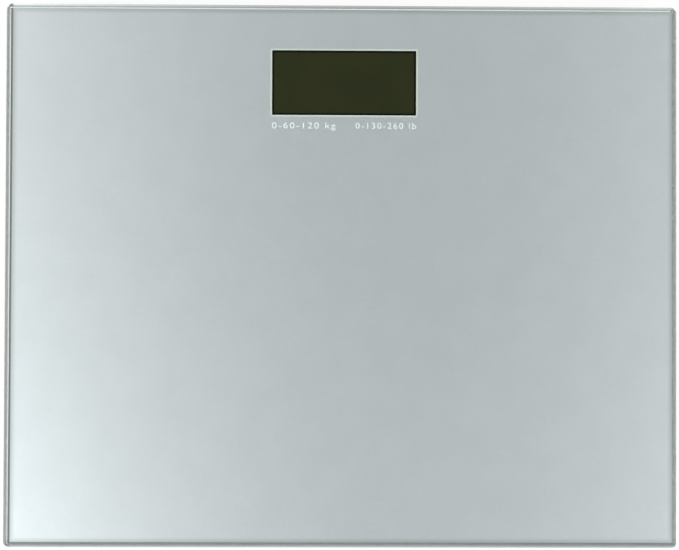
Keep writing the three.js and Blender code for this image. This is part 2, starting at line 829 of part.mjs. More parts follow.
add(root, "glass_platform", MATERIAL.glass, glassPlatform());
add(root, "silver_print", MATERIAL.silver, silverPrint());

const footPieces = [
  ["adhesive_pad", MATERIAL.foam, adhesivePad()],
  ["foot_bracket", MATERIAL.casing, footBracket()],
  ["load_cell", MATERIAL.steel, loadCell()],
  ["strain_gauge", MATERIAL.sealant, strainGauge()],
  ["cell_retainer", MATERIAL.nylon, cellRetainer()],
  ["foot_cap", MATERIAL.casing, footCap()],
  ["rubber_pad", MATERIAL.rubber, rubberPad()],
];
for (const corner of corners) {
  const foot = new THREE.Group();
  foot.position.set(corner.x, corner.y, 0);
  foot.rotation.z = corner.angle;
  root.add(foot);
  for (const [name, material, part] of footPieces) add(foot, `${name}_${corner.name}`, material, part);
  add(foot, `gauge_lead_${corner.name}`, MATERIAL.lead, gaugeLead(corner));
  add(root, `wire_duct_${corner.name}`, MATERIAL.casing, wireDuct(corner));
}

const display = new THREE.Group();
display.position.set(WINDOW.x, windowY, 0);
root.add(display);
add(display, "housing_gasket", MATERIAL.foam, housingGasket());
add(display, "housing_frame", MATERIAL.casing, housingFrame());
add(display, "lcd_front_glass", MATERIAL.lcd, lcdFrontGlass());
add(display, "lcd_rear_glass", MATERIAL.lcd, lcdRearGlass());
add(display, "lcd_reflector", MATERIAL.reflector, lcdReflector());
add(display, "lcd_holder", MATERIAL.nylon, lcdHolder());
add(display, "zebra_strip_front", MATERIAL.zebra, zebraStrip(-zebraY));
add(display, "zebra_strip_rear", MATERIAL.zebra, zebraStrip(zebraY));
add(display, "circuit_board", MATERIAL.board, circuitBoard());
add(display, "chip_blob", MATERIAL.epoxy, chipBlob());
add(display, "unit_switch", MATERIAL.switchBody, switchBody());
add(display, "switch_plunger", MATERIAL.switchBody, switchPlunger());
add(display, "unit_button", MATERIAL.casing, unitButton());
add(display, "coin_cell", MATERIAL.plated, coinCell());
add(display, "battery_contact_negative", MATERIAL.plated, negativeContact());
add(display, "battery_contact_positive", MATERIAL.plated, positiveContact());
add(display, "housing_cover", MATERIAL.casing, housingCover());
add(display, "battery_door", MATERIAL.casing, batteryDoor());
for (const post of posts) add(display, `cover_screw_${post.name}`, MATERIAL.steel, coverScrew(post));

export default root;
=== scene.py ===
# %% [markdown]
# # A glass bathroom scale
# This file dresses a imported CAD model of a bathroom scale: a sheet of toughened glass with silver
# ink on its underside, a display that looks out through a gap in the ink, and four feet that weigh.
# The CAD says where every piece is. Blender gives each piece the shape and the finish of the real one.

# %% Load the frame
import math

import bmesh
import bpy
import numpy as np
from mathutils import Matrix, Vector
from mathutils.geometry import tessellate_polygon


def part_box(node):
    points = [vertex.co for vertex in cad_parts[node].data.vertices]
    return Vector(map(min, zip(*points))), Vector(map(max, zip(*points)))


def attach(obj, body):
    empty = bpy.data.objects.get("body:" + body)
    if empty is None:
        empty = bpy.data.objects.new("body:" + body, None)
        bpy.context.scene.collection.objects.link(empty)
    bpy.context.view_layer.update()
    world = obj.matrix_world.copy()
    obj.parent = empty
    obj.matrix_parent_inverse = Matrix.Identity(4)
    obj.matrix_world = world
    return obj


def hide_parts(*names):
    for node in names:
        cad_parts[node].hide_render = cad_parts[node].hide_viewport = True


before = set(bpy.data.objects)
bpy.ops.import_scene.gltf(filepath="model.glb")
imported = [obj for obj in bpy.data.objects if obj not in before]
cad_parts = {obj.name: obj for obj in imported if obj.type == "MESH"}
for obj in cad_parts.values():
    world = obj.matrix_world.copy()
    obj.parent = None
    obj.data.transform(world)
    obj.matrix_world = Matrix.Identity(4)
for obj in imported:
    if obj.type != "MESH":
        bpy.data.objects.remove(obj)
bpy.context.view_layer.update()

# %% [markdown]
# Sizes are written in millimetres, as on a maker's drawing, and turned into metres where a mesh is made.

MM = 0.001
CORNERS = ("front_left", "front_right", "rear_left", "rear_right")
scene = bpy.context.scene


def span(node):
    """A CAD node's lowest and highest corner in millimetres, as two arrays."""
    low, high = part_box(node)
    return np.array(low) / MM, np.array(high) / MM


def middle(node):
    """The middle of a CAD node's box in millimetres."""
    low, high = span(node)
    return (low + high) / 2


glass_low, glass_high = span("glass_platform")
ink_low = span("silver_print")[0]
print("glass from", glass_low.round(2), "to", glass_high.round(2))

# %% [markdown]
# ## Camera
# A product shot of a flat thing is taken from straight above with a long lens, so the sides stay
# parallel. The tripod is never quite plumb: this camera leans a degree, which is why the plate's
# sides aren't exactly level.

# %% Camera
LENS = 101.2
STAND = (-0.0171, -0.0192, 0.9)
LEAN = (1.27, -1.04, 0.22)
camera = bpy.data.objects.new("camera", bpy.data.cameras.new("camera"))
scene.collection.objects.link(camera)
scene.camera = camera
camera.data.lens = LENS
lean = Vector(LEAN) * math.radians(1)
turned_by = Matrix.Rotation(lean.length, 4, lean.normalized())
camera.matrix_world = Matrix.Translation(STAND) @ turned_by
print("camera leans", round(math.degrees(lean.length), 2), "degrees")

# %% [markdown]
# ## Shader maths as Python
# A material is a graph of nodes. Wiring a graph by hand hides the formula, so one small class wraps
# an output socket, and an expression such as `1 - mask * 0.2` adds the Math nodes by itself. Every
# other node comes from one method, `add`.


# %% Sockets that can be calculated with
class Wire:
    """An output socket. Arithmetic on it adds Math nodes to the same graph."""

    def __init__(self, finish, socket):
        self.finish = finish
        self.socket = socket

    def math(self, operation, *terms):
        values = dict(enumerate(terms))
        return self.finish.add("Math", {"operation": operation}, values)

    def __add__(self, other):
        return self.math("ADD", self, other)

    def __radd__(self, other):
        return self.math("ADD", other, self)

    def __sub__(self, other):
        return self.math("SUBTRACT", self, other)

    def __rsub__(self, other):
        return self.math("SUBTRACT", other, self)

    def __mul__(self, other):
        return self.math("MULTIPLY", self, other)

    def __rmul__(self, other):
        return self.math("MULTIPLY", other, self)

    def __abs__(self):
        return self.math("ABSOLUTE", self)

    def between(self, low, high):
        """0 below low, 1 above high, and a smooth climb from one to the other."""
        values = {"Value": self, "From Min": low, "From Max": high}
        return self.finish.add("MapRange", {"interpolation_type": "SMOOTHSTEP"}, values)

    def most(self, other):
        return self.math("MAXIMUM", self, other)


# %% [markdown]
# A graph belongs to a material or to the world. `add` makes a node of any kind: it sets what the
# node does first, and then gives each socket a value or a link. The other methods are the few
# patterns that the finishes here are made of, with sizes in millimetres, as on the real surface.


# %% A graph of nodes
class Finish:
    """A graph of nodes: a material's, or the world's."""

    def __init__(self, owner):
        self.owner = owner
        owner.use_nodes = True
        self.tree = owner.node_tree
        self.tree.nodes.clear()
        ending = "World" if isinstance(owner, bpy.types.World) else "Material"
        self.end = self.tree.nodes.new("ShaderNodeOutput" + ending)

    def add(self, kind, settings=None, values=None, out=0):
        """A node of a kind. Its settings are set first, then its sockets get a value or a link."""
        node = self.tree.nodes.new("ShaderNode" + kind)
        for name, value in (settings or {}).items():
            setattr(node, name, value)
        for name, value in (values or {}).items():
            if isinstance(value, Wire):
                self.tree.links.new(value.socket, node.inputs[name])
            else:
                node.inputs[name].default_value = value
        return Wire(self, node.outputs[out])

    def shade(self, wire, place="Surface"):
        self.tree.links.new(wire.socket, self.end.inputs[place])

    def place(self):
        """Where a point is on the object, in metres."""
        return self.add("TexCoord", out="Object")

    def along(self, axis):
        """One coordinate of the place: 0 is x, 1 is y and 2 is z."""
        return self.add("SeparateXYZ", {}, {"Vector": self.place()}, out=axis)

    def stretched(self, x, y, z):
        """The place with each axis multiplied, so that a pattern is drawn out along one of them."""
        return self.add("Mapping", {}, {"Vector": self.place(), "Scale": (x, y, z)})

    def noise(self, size, detail=2.0, rough=0.5, where=None):
        """Soft random values around 0.5, whose lumps are about size millimetres across."""
        values = {"Scale": 1 / (size * MM), "Detail": detail, "Roughness": rough}
        values["Vector"] = where or self.place()
        return self.add("TexNoise", {}, values)

    def cells(self, size, feature="F1"):
        """Distance to the nearest of many scattered points, size millimetres apart."""
        values = {"Vector": self.place(), "Scale": 1 / (size * MM)}
        return self.add("TexVoronoi", {"feature": feature}, values)

    def between(self, share, first, second):
        """A colour from first to second as share goes from 0 to 1."""
        return self.add("Mix", {"data_type": "RGBA"}, {0: share, 6: first, 7: second}, out=2)

    def bump(self, height, depth, strength=1.0):
        """A normal tilted as if the surface rose by height times depth millimetres."""
        values = {"Height": height, "Distance": depth * MM, "Strength": strength}
        return self.add("Bump", {}, values)


# %% [markdown]
# A colour is easiest to name as a screen shows it, but a shader counts light, so screen values are
# made linear first. Nearly every material here is one Principled shader. On most of them one
# pattern, such as a grain, changes the tone and the gloss together, as it does on a real surface.


# %% Colours and materials
def colour(red, green, blue):
    """Screen values from 0 to 255 as the linear numbers that a shader takes."""
    share = np.array([red, green, blue]) / 255
    linear = np.where(share <= 0.04045, share / 12.92, ((share + 0.055) / 1.055) ** 2.4)
    return (*linear.tolist(), 1.0)


def principled(name, values):
    """A material whose surface is one Principled shader, with the sockets that values(finish) gives."""
    finish = Finish(bpy.data.materials.new(name))
    finish.shade(finish.add("BsdfPrincipled", {}, values(finish)))
    return finish.owner


def following(pattern, dark, light, rough, swing=0.0, **others):
    """Socket values that follow a pattern: where it is 0 the dark colour and the least roughness."""
    values = {"Base Color": pattern.finish.between(pattern, colour(*dark), colour(*light))}
    values["Roughness"] = rough + pattern * swing if swing else rough
    return {**values, **others}


print("mid grey is", round(colour(128, 128, 128)[0], 3), "in linear light")

# %% [markdown]
# ## Floor, world and lamps
# The scale lies on a white sweep. The sweep is a large white floor that shines a little by itself
# towards the camera and towards gloss and glass, so it reads as white without more light on the
# scale; the rest of it is plain diffuse white, which keeps the shadow and sends light up under the
# plate. Under the plate it hardly shines, because there it is shaded. Far away it only shines, so
# that it runs into the world behind it without a line.


# %% Floor
def seen(finish):
    """1 for a ray from the camera, from gloss or through glass, and 0 for light on a surface."""
    camera_ray, gloss, through = (
        finish.add("LightPath", out=name)
        for name in ("Is Camera Ray", "Is Glossy Ray", "Is Transmission Ray")
    )
    return camera_ray.most(gloss).most(through)


UNDER_PLATE, IN_THE_OPEN, FAR_OFF = 0.08, 0.8, 0.12
PLATE_SHADE = 12 * MM
FAR = (0.35, 1.3)
sweep = Finish(bpy.data.materials.new("white_sweep"))
paper = sweep.add("BsdfDiffuse", {}, {"Color": (0.86, 0.86, 0.86, 1)})
glow = sweep.add("Emission", {}, {"Color": (1, 1, 1, 1), "Strength": 1.0})
away = sweep.add("VectorMath", {"operation": "LENGTH"}, {0: sweep.place()}, out="Value")
outside = [abs(sweep.along(axis)) - glass_high[axis] * MM for axis in (0, 1)]
open_sky = outside[0].most(outside[1]).between(-PLATE_SHADE, 0)
share = seen(sweep) * (UNDER_PLATE + open_sky * IN_THE_OPEN + away.between(*FAR) * FAR_OFF)
sweep.shade(sweep.add("MixShader", {}, {0: share, 1: paper, 2: glow}))
sweep.owner.cycles.emission_sampling = "NONE"

floor_mesh = bpy.data.meshes.new("floor")
reach = 12.0
floor_mesh.from_pydata(
    [(-reach, -reach, 0), (reach, -reach, 0), (reach, reach, 0), (-reach, reach, 0)], [], [(0, 1, 2, 3)]
)
floor = bpy.data.objects.new("floor", floor_mesh)
floor.data.materials.append(sweep.owner)
scene.collection.objects.link(floor)
print("floor", 2 * reach, "metres across")

# %% [markdown]
# The world is pale at the horizon, like the sweep's back, and dim overhead: glass mirrors what is
# over it, and a bright ceiling would wash out the display. Matt surfaces get a faint even light from
# the world and none from the floor's shine, so the renderer needn't aim light paths at either.

# %% World
studio = Finish(bpy.data.worlds.new("studio"))
scene.world = studio.owner
CEILING = 0.06
aim = studio.add("TexCoord", out="Generated")
height = studio.add("SeparateXYZ", {}, {"Vector": aim}, out="Z")
horizon = 1 - height.between(0.1, 0.8)
camera_ray = studio.add("LightPath", out="Is Camera Ray")
strength = CEILING + (seen(studio) * horizon).most(camera_ray) * (1 - CEILING)
studio.shade(studio.add("Background", {}, {"Color": (1, 1, 1, 1), "Strength": strength}))
studio.owner.cycles.sampling_method = "NONE"
print("overhead the world has", CEILING, "of its brightness at the horizon")

# %% [markdown]
# The lamps stand around the plate, well outside what the glass mirrors to the camera. The strong one
# is a long box on the left: its light slides down the silver ink from left to right.


# %% Lamps
def lamp(name, place, size, power):
    """A rectangular lamp at place that faces the middle of the plate."""
    data = bpy.data.lights.new(name, "AREA")
    data.shape = "RECTANGLE"
    data.size, data.size_y = size
    data.energy = power
    made = bpy.data.objects.new(name, data)
    made.location = place
    made.rotation_euler = (Vector((0, 0, 0.02)) - Vector(place)).to_track_quat("-Z", "Y").to_euler()
    made.visible_camera = False
    scene.collection.objects.link(made)
    return made


lamps = [
    lamp("lamp_left", (-0.75, 0.0, 0.9), (1.3, 0.7), 10.9),
    lamp("lamp_front_left", (-0.6, -0.55, 0.9), (0.4, 0.4), 6.9),
    lamp("lamp_front_right", (0.75, -0.65, 0.9), (0.4, 0.4), 5.35),
    lamp("lamp_right", (0.82, 0.0, 0.9), (1.3, 0.7), 8.0),
    lamp("lamp_rear", (0.0, 0.85, 0.9), (0.9, 0.5), 2.9),
]
print(len(lamps), "lamps")

# %% [markdown]
# ## Surfaces from arrays
# Every new piece here is a stack of closed rings: a plan such as a rounded rectangle or a circle,
# moved and shrunk step by step. A half-round glass edge, a turned foot and the walls of a housing
# are all that. The rings are worked out as whole arrays, and `Shell` joins them into one mesh.


# %% Plans
def rounded(size, radius, inset=0.0, at=(0.0, 0.0), steps=9):
    """A rectangle with round corners, as points (n, 2) that run anticlockwise.

    Each corner is a quarter circle: its middle, plus the radius times the cosine and sine of an
    angle. An inset moves every side inwards and takes the same off the radius.
    """
    left = max(radius - inset, 0.02)
    reach = np.array(size) / 2 - inset - left
    signs = np.repeat([[1, 1], [-1, 1], [-1, -1], [1, -1]], steps, axis=0)
    turn = np.radians((np.arange(4)[:, None] * 90 + np.linspace(0, 90, steps)).ravel())
    return signs * reach + left * np.stack([np.cos(turn), np.sin(turn)], 1) + np.array(at)


def circle(radius, at=(0.0, 0.0), steps=64):
    """A circle as points (n, 2): the middle, plus the radius times cosine and sine."""
    turn = np.linspace(0, 2 * np.pi, steps, endpoint=False)
    return radius * np.stack([np.cos(turn), np.sin(turn)], 1) + np.array(at)


def level(plan, height):
    """A plan (n, 2) at a height, as points (n, 3)."""
    return np.column_stack([plan, np.full(len(plan), height)])


print("a rounded plan has", len(rounded((2, 1), 0.1)), "points and a circle", len(circle(1)))

# %% [markdown]
# A profile is drawn like a plan, but across a wall instead of round it. A moulded or ground part has
# no perfectly sharp corner, so each corner of a profile gets an arc. A highlight along such an arc is
# what makes an edge look real.


# %% Soft corners
def filleted(profile, radius, steps=4, closed=True):
    """A profile (m, 2) whose corners are arcs.

    Both sides of a corner are left at the same distance from it, radius over the tangent of half
    the angle between them, and the arc between those two points is around the middle that is as far
    from both sides. The first and last point of an open profile stay as they are.
    """
    points = np.array(profile, float)
    before, after = np.roll(points, 1, 0) - points, np.roll(points, -1, 0) - points
    lengths = [np.linalg.norm(side, axis=1, keepdims=True) for side in (before, after)]
    u, v = before / lengths[0], after / lengths[1]
    half = np.arccos(np.clip((u * v).sum(1, keepdims=True), -1, 1)) / 2
    wanted = np.broadcast_to(np.array(radius, float).reshape(-1, 1), half.shape)
    leave = np.minimum(wanted / np.tan(half), 0.45 * np.minimum(*lengths))
    bent = half < np.radians(89)
    bisector = u + v
    bisector = bisector / np.maximum(np.linalg.norm(bisector, axis=1, keepdims=True), 1e-9)
    centre = points + bisector * leave / np.cos(half)
    share = np.linspace(0, 1, steps)[None, :, None]
    start, end = points + u * leave - centre, points + v * leave - centre
    spokes = start[:, None] * (1 - share) + end[:, None] * share
    size = np.linalg.norm(start, axis=1)[:, None, None]
    arcs = centre[:, None] + spokes / np.maximum(np.linalg.norm(spokes, axis=2, keepdims=True), 1e-12) * size
    arcs = np.where(bent[:, None], arcs, points[:, None])
    if not closed:
        arcs[0], arcs[-1] = points[0], points[-1]
    return arcs.reshape(-1, 2)


print("a square with soft corners has", len(filleted([(0, 0), (1, 0), (1, 1), (0, 1)], 0.1)), "points")

# %% [markdown]
# A profile becomes a surface when it is carried: all round an axis, as on a lathe, round a part of a
# turn, or up a wall whose lower edge is rounded.


# %% Profiles carried along a path
def turned(profile, at=(0.0, 0.0), steps=64):
    """Rings (m, n, 3) of a profile of (radius, height) points turned about an upright axis."""
    profile = np.array(profile, float)
    turn = circle(1.0, steps=steps)
    plans = profile[:, None, :1] * turn[None] + np.array(at)
    heights = np.broadcast_to(profile[:, None, 1:], (*plans.shape[:2], 1))
    return np.concatenate([plans, heights], 2)


def wedge(profile, angle, spread, at=(0.0, 0.0), steps=9):
    """A closed profile of (radius, height) points carried round a part of a turn."""
    profile = np.array(profile, float)
    turn = np.radians(np.linspace(angle - spread / 2, angle + spread / 2, steps))[:, None]
    x = profile[None, :, 0] * np.cos(turn) + at[0]
    y = profile[None, :, 0] * np.sin(turn) + at[1]
    return np.stack([x, y, np.broadcast_to(profile[None, :, 1], x.shape)], 2)


def walls(plan_at, bottom, top, edge=0.3, steps=5):
    """Rings up a wall whose lower edge is rounded. plan_at(inset) gives the plan at an inset.

    At an angle t the inset is the edge radius times one less the sine of t, and the height above
    the bottom is the radius times one less the cosine.
    """
    t = np.radians(np.linspace(0, 90, steps))
    insets, rises = edge * (1 - np.sin(t)), edge * (1 - np.cos(t))
    rings = [level(plan_at(i), bottom + r) for i, r in zip(insets, rises)]
    return np.array([*rings, level(plan_at(0.0), top)])


print("a turned profile of 3 points makes rings of shape", turned([(1, 0), (1, 1), (0, 1)]).shape)

# %% [markdown]
# `Shell` collects the rings and the flat faces of one piece. Its mesh has its doubles merged and its
# faces turned outwards, and edges sharper than an angle stay sharp. Smooth shading would bend the
# light on a flat face next to a soft edge, so Weighted Normal lets the large faces decide.


# %% The shell that collects rings
class Shell:
    """A mesh in the making, in millimetres."""

    def __init__(self):
        self.points, self.faces, self.count = [], [], 0

    def _take(self, points, faces):
        self.points.append(points)
        self.faces += faces
        self.count += len(points)

    def loft(self, rings, wrap=False, caps=False):
        """Joins each ring to the next with four-sided faces.

        wrap joins the last ring to the first, and caps closes both ends.
        """
        rings = np.array(rings, float)
        rows, around = rings.shape[:2]
        index = np.arange(rows * around).reshape(rows, around) + self.count
        lower = index if wrap else index[:-1]
        upper = np.roll(index, -1, 0)[: len(lower)]
        quads = np.stack([lower, np.roll(lower, -1, 1), np.roll(upper, -1, 1), upper], 2)
        faces = quads.reshape(-1, 4).tolist()
        if caps:
            faces += [index[0].tolist(), index[-1].tolist()]
        self._take(rings.reshape(-1, 3), faces)
        return self

    def lid(self, height, outline, *holes):
        """A flat face at a height, with holes."""
        plans = [np.array(p, float) for p in (outline, *holes)]
        flat = [level(p, 0.0).tolist() for p in plans]
        corners = np.array(tessellate_polygon(flat)) + self.count
        self._take(level(np.concatenate(plans), height), corners.tolist())
        return self

    def box(self, size, at, bottom, top, turn=0.0, edge=0.25):
        """An upright block with soft upright edges, turned about its own middle by turn radians."""
        plan = rounded(size, edge, steps=3) @ np.array(
            [[math.cos(turn), math.sin(turn)], [-math.sin(turn), math.cos(turn)]]
        )
        return self.loft([level(plan + np.array(at), z) for z in (bottom, top)], caps=True)

    def moved(self, angle, x, y):
        """The whole shell turned about Z by angle radians and moved to x, y."""
        rotation = np.array(
            [[math.cos(angle), math.sin(angle), 0], [-math.sin(angle), math.cos(angle), 0], [0, 0, 1]]
        )
        self.points = [np.concatenate(self.points) @ rotation + np.array([x, y, 0])]
        return self

    def piece(self, name, material, slot, body, nodes=(), smooth=32.0):
        """The shell as an object that rides on a body: doubles merged, faces turned outwards."""
        data = bpy.data.meshes.new(name)
        data.from_pydata((np.concatenate(self.points) * MM).tolist(), [], self.faces)
        welded = bmesh.new()
        welded.from_mesh(data)
        bmesh.ops.remove_doubles(welded, verts=welded.verts, dist=2e-6)
        bmesh.ops.dissolve_degenerate(welded, edges=welded.edges, dist=1e-7)
        bmesh.ops.recalc_face_normals(welded, faces=welded.faces)
        welded.to_mesh(data)
        open_edges = sum(1 for edge in welded.edges if len(edge.link_faces) != 2)
        welded.free()
        data.shade_smooth()
        data.set_sharp_from_angle(angle=math.radians(smooth))
        made = bpy.data.objects.new(name, data)
        flat = made.modifiers.new("flats stay flat", "WEIGHTED_NORMAL")
        flat.keep_sharp = True
        flat.weight = 100
        return settle(made, material, body, nodes, open_edges)


def lathed(profile, radii, at=(0.0, 0.0), steps=96):
    """An open profile whose corners are arcs of the given radii, turned about an upright axis."""
    return Shell().loft(turned(filleted(profile, radii, steps=5, closed=False), at, steps))


def settle(made, material, body, nodes=(), open_edges=0):
    """Links an object, gives it its material, hides the CAD nodes it stands for and puts it on the body it
    rides on.
    """
    scene.collection.objects.link(made)
    made.data.materials.clear()
    made.data.materials.append(material)
    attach(made, body)
    if nodes:
        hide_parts(*nodes)
    note = f", {open_edges} open edges" if open_edges else ""
    print(f"{made.name}: {len(made.data.polygons)} faces{note}")
    return made


# %% [markdown]
# ## Glass
# The plate is 6 mm float glass. Its edge is ground and polished to a half round before it is
# toughened. Float glass has a little iron in it: through 6 mm it is only just green, and through the
# whole plate, seen from the side, it is bottle green. So the colour is put into the volume and not on
# the surface. Light from the lamps has to reach the ink behind it without the noise of caustics, so
# for such light the glass steps aside.

# %% Glass finish
clear = Finish(bpy.data.materials.new("toughened_glass"))
bent = clear.add(
    "BsdfPrincipled",
    {},
    {"Base Color": (1, 1, 1, 1), "Roughness": 0.0, "IOR": 1.52, "Transmission Weight": 1.0},
)
passing = clear.add("BsdfTransparent", {}, {"Color": (0.97, 0.985, 0.98, 1)})
shadow, soft, gloss, sharp = (
    clear.add("LightPath", out=name)
    for name in ("Is Shadow Ray", "Is Diffuse Ray", "Is Glossy Ray", "Is Singular Ray")
)
aside = shadow.most(soft).most(gloss * (1 - sharp))
clear.shade(clear.add("MixShader", {}, {0: aside, 1: bent, 2: passing}))
iron = clear.add("VolumeAbsorption", {}, {"Color": (0.0, 0.72, 0.52, 1), "Density": 7.0})
clear.shade(iron, "Volume")
GLASS = clear.owner
print("glass finish:", len(clear.tree.nodes), "nodes")

# %% [markdown]
# The edge is a quarter of an ellipse twice over, a little flatter than a half circle: a wheel grinds
# it, so it meets both flats without a corner.

# %% Glass plate
thickness = glass_high[2] - glass_low[2]
PLATE = (glass_high - glass_low)[:2]
CORNER = 2.8
EDGE = 2.35


def plate_plan(inset=0.0):
    """The plate's outline, moved inwards by inset."""
    return rounded(PLATE, CORNER, inset, steps=12)


t = np.radians(np.linspace(-90, 90, 65))
edge_rings = [
    level(plate_plan(EDGE * (1 - math.cos(a))), glass_low[2] + thickness / 2 * (1 + math.sin(a)))
    for a in t
]
plate = Shell().loft(edge_rings, caps=True)
plate.piece("glass_plate", GLASS, "platform_glass", "platform", ["glass_platform"], smooth=60)

# %% [markdown]
# ## Silver ink
# The silver is ink printed on the underside of the glass and cured: fine aluminium flakes in a clear
# binder. The flakes lie nearly flat, so it is half metal and half paint: it glows towards the lamps
# and stays grey away from them. A fine grain, a soft mottle and slow clouds come from the flakes.
# Towards the rim the silver is painted shade: it ramps to a greyer tone and then to dark, standing in for the
# shade under the plate that shows through the ground edge. All of it is mixed from noises of the size that
# each has on the real ink, and from how far a point is outside a rectangle.

# %% Silver finish
# The silver along the rim is painted shade: these say where it starts, how far it ramps and how soft its
# outer end is.
RIM_SHADE_FROM = (2.45, 2.05)
RIM_SHADE_CENTRE = (0.35, 0.15)
RIM_SHADE_RAMP = 2.6
RIM_SHADE_BLUR = 0.5
PAINTED_SHADE_SILVER = colour(176, 177, 178)
PAINTED_RIM_SHADE = colour(98, 97, 97)


def silver_values(finish):
    grain = finish.noise(0.35, 2, 0.6)
    mottle = finish.noise(1.7, 3, 0.6).between(0.3, 0.7)
    clouds = finish.noise(14, 3, 0.55).between(0.3, 0.7)
    tone = mottle * 0.6 + clouds * 0.4
    base = finish.between(tone, colour(195, 194, 198), colour(203, 202, 206))
    flecks = grain.between(0.2, 0.8)
    silver = finish.between(flecks * 0.5, base, colour(207, 205, 210))
    # Painted shade along the rim: past a rectangle a little inside it, the silver ramps to a greyer tone and
    # then to a dark grey that is no metal, standing in for the shade under the plate seen through the ground
    # edge.
    out = [
        abs(finish.along(axis) - RIM_SHADE_CENTRE[axis] * MM) - (glass_high[axis] - RIM_SHADE_FROM[axis]) * MM
        for axis in (0, 1)
    ]
    out = out[0].most(out[1])
    thin = out.between(-RIM_SHADE_RAMP * MM, 0)
    rim_shade = out.between(-RIM_SHADE_BLUR / 2 * MM, RIM_SHADE_BLUR / 2 * MM)
    return {
        "Base Color": finish.between(rim_shade, finish.between(thin, silver, PAINTED_SHADE_SILVER), PAINTED_RIM_SHADE),
        "Metallic": 0.8 - rim_shade * 0.8,
        "Roughness": 0.40 + flecks * 0.05 + rim_shade * 0.1,
        "Normal": finish.bump(grain, 0.02, 0.25),
    }


SILVER = principled("silver_ink", silver_values)
print("silver finish:", len(SILVER.node_tree.nodes), "nodes")

# %% [markdown]
# The print's outline lies a little nearer to the rim at two sides than at the others, because a
# screen print is never quite centred, and outside it the glass stays clear. The sheet follows the
# underside of the glass up to the ground edge, and the display's window is left open in it.

# %% Silver sheet
WINDOW = {"size": (66.7, 30.0), "at": (0.7, 89.3)}
HAIRLINE = 0.75
PRINT_MARGIN = 1.5
SQUARER = 0.3
SHIFT = (0.29, -0.3)
UNDER = glass_low[2] - 0.02
SILVER_LOW = ink_low[2] + 0.09


def window_plan(outset=0.0):
    """The display's window in the ink, moved outwards by outset."""
    return rounded(WINDOW["size"], 0.25, -outset, WINDOW["at"], steps=12)


def print_rings(height):
    """Rings under the glass, from the print's outline to the flat.

    The print's margin is an even one, less the shift of the print in the direction that faces
    outwards, less a little more at the corners; from there the rings close in evenly. A ring rises
    with the glass above it: by half the thickness, times one less the root of one less the square
    of how far it is short of the flat, as a share of the ground edge's width.
    """
    outline = plate_plan()
    outwards = outline - plate_plan(1)
    first = PRINT_MARGIN - outwards @ np.array(SHIFT) - SQUARER * 2 * abs(outwards.prod(1))
    rings = []
    for share in np.linspace(0, 1, 11):
        margin = first + (EDGE + 0.1 - first) * share
        short = 1 - np.minimum(margin / EDGE, 1)
        rise = thickness / 2 * (1 - np.sqrt(1 - short**2))
        rings.append(np.column_stack([outline - outwards * margin[:, None], height + rise]))
    return rings


def ink_layer(top, bottom):
    """A sheet under the glass from the print's outline to the display's window, as closed rings."""
    hole = [level(window_plan(HAIRLINE), top), level(window_plan(HAIRLINE), bottom)]
    return print_rings(top) + hole + print_rings(bottom)[::-1]


Shell().loft(ink_layer(UNDER - 0.02, SILVER_LOW), wrap=True).piece(
    "silver_ink_sheet", SILVER, "silver_ink", "platform", ["silver_print"]
)

# %% [markdown]
# Seen from below, the print ends in a dark grey coat that keeps the silver from being scratched and
# makes it opaque.


# %% Dark coat
def coat_values(finish):
    return following(finish.noise(2, 2), (102, 101, 101), (114, 113, 113), 0.55)


Shell().loft(ink_layer(SILVER_LOW - 0.01, ink_low[2]), wrap=True).piece(
    "ink_backing", principled("dark_coat", coat_values), "silver_ink", "platform"
)

# %% [markdown]
# Under the silver the printer lays a pale key coat that shows as a hairline all round the window. It
# is a frame of four rings, whose inner side is the window and whose outer side meets the silver.


# %% Pale border
def pale_values(finish):
    patches = finish.noise(1.5, 2)
    relief = finish.bump(patches, 0.02, 0.2)
    return following(patches, (180, 183, 175), (189, 192, 185), 0.6, Normal=relief)


PALE = principled("pale_ink", pale_values)
border_rings = [
    level(window_plan(HAIRLINE), ink_low[2]),
    level(window_plan(HAIRLINE), UNDER),
    level(window_plan(0), UNDER),
    level(window_plan(0), ink_low[2]),
]
Shell().loft(border_rings, wrap=True).piece("window_border", PALE, "silver_ink", "platform")

# %% [markdown]
# The weighing ranges are printed in white ink before the silver, in plain letters. A font gives
# their outlines. They become a thin flat mesh that is stretched to its width and height, because a
# piece's place has to be in its mesh.


# %% Printed ranges
def range_print(name, words, left, width, baseline, tall=2.8):
    """Words as thin flat letters under the glass, fitted to a width and a height of their figures."""
    text = bpy.data.curves.new(name, "FONT")
    text.body = words
    text.space_character = 1.25
    relief, half_depth, sunk = 0.01, 0.006, 0.008
    text.extrude = relief
    text.resolution_u = 4
    typed = bpy.data.objects.new(name, text)
    scene.collection.objects.link(typed)
    bpy.context.view_layer.update()
    data = bpy.data.meshes.new_from_object(typed.evaluated_get(bpy.context.evaluated_depsgraph_get()))
    bpy.data.objects.remove(typed)
    points = np.empty(len(data.vertices) * 3)
    data.vertices.foreach_get("co", points)
    points = points.reshape(-1, 3)
    low, high = points.min(0), points.max(0)
    digit_height = 0.695
    points[:, 0] = left + (points[:, 0] - low[0]) / (high[0] - low[0]) * width
    points[:, 1] = baseline + points[:, 1] / digit_height * tall
    points[:, 2] = UNDER - sunk + points[:, 2] / relief * half_depth
    data.vertices.foreach_set("co", (points * MM).ravel())
    data.update()
    return settle(bpy.data.objects.new(name, data), PRINT_WHITE, "platform")


PRINT_WHITE = principled(
    "white_print",
    lambda finish: following(finish.noise(0.4), (212, 218, 219), (222, 228, 229), 0.55),
)
LINE_DROP = 6.2
KG_WIDTH, LB_WIDTH = 29.4, 28.0
text_base = WINDOW["at"][1] - WINDOW["size"][1] / 2 - LINE_DROP
window_left = WINDOW["at"][0] - WINDOW["size"][0] / 2
window_right = window_left + WINDOW["size"][0]
range_print("range_print_kg", "0-60-120 kg", window_left, KG_WIDTH, text_base)
range_print("range_print_lb", "0-130-260 lb", window_right - LB_WIDTH, LB_WIDTH, text_base)
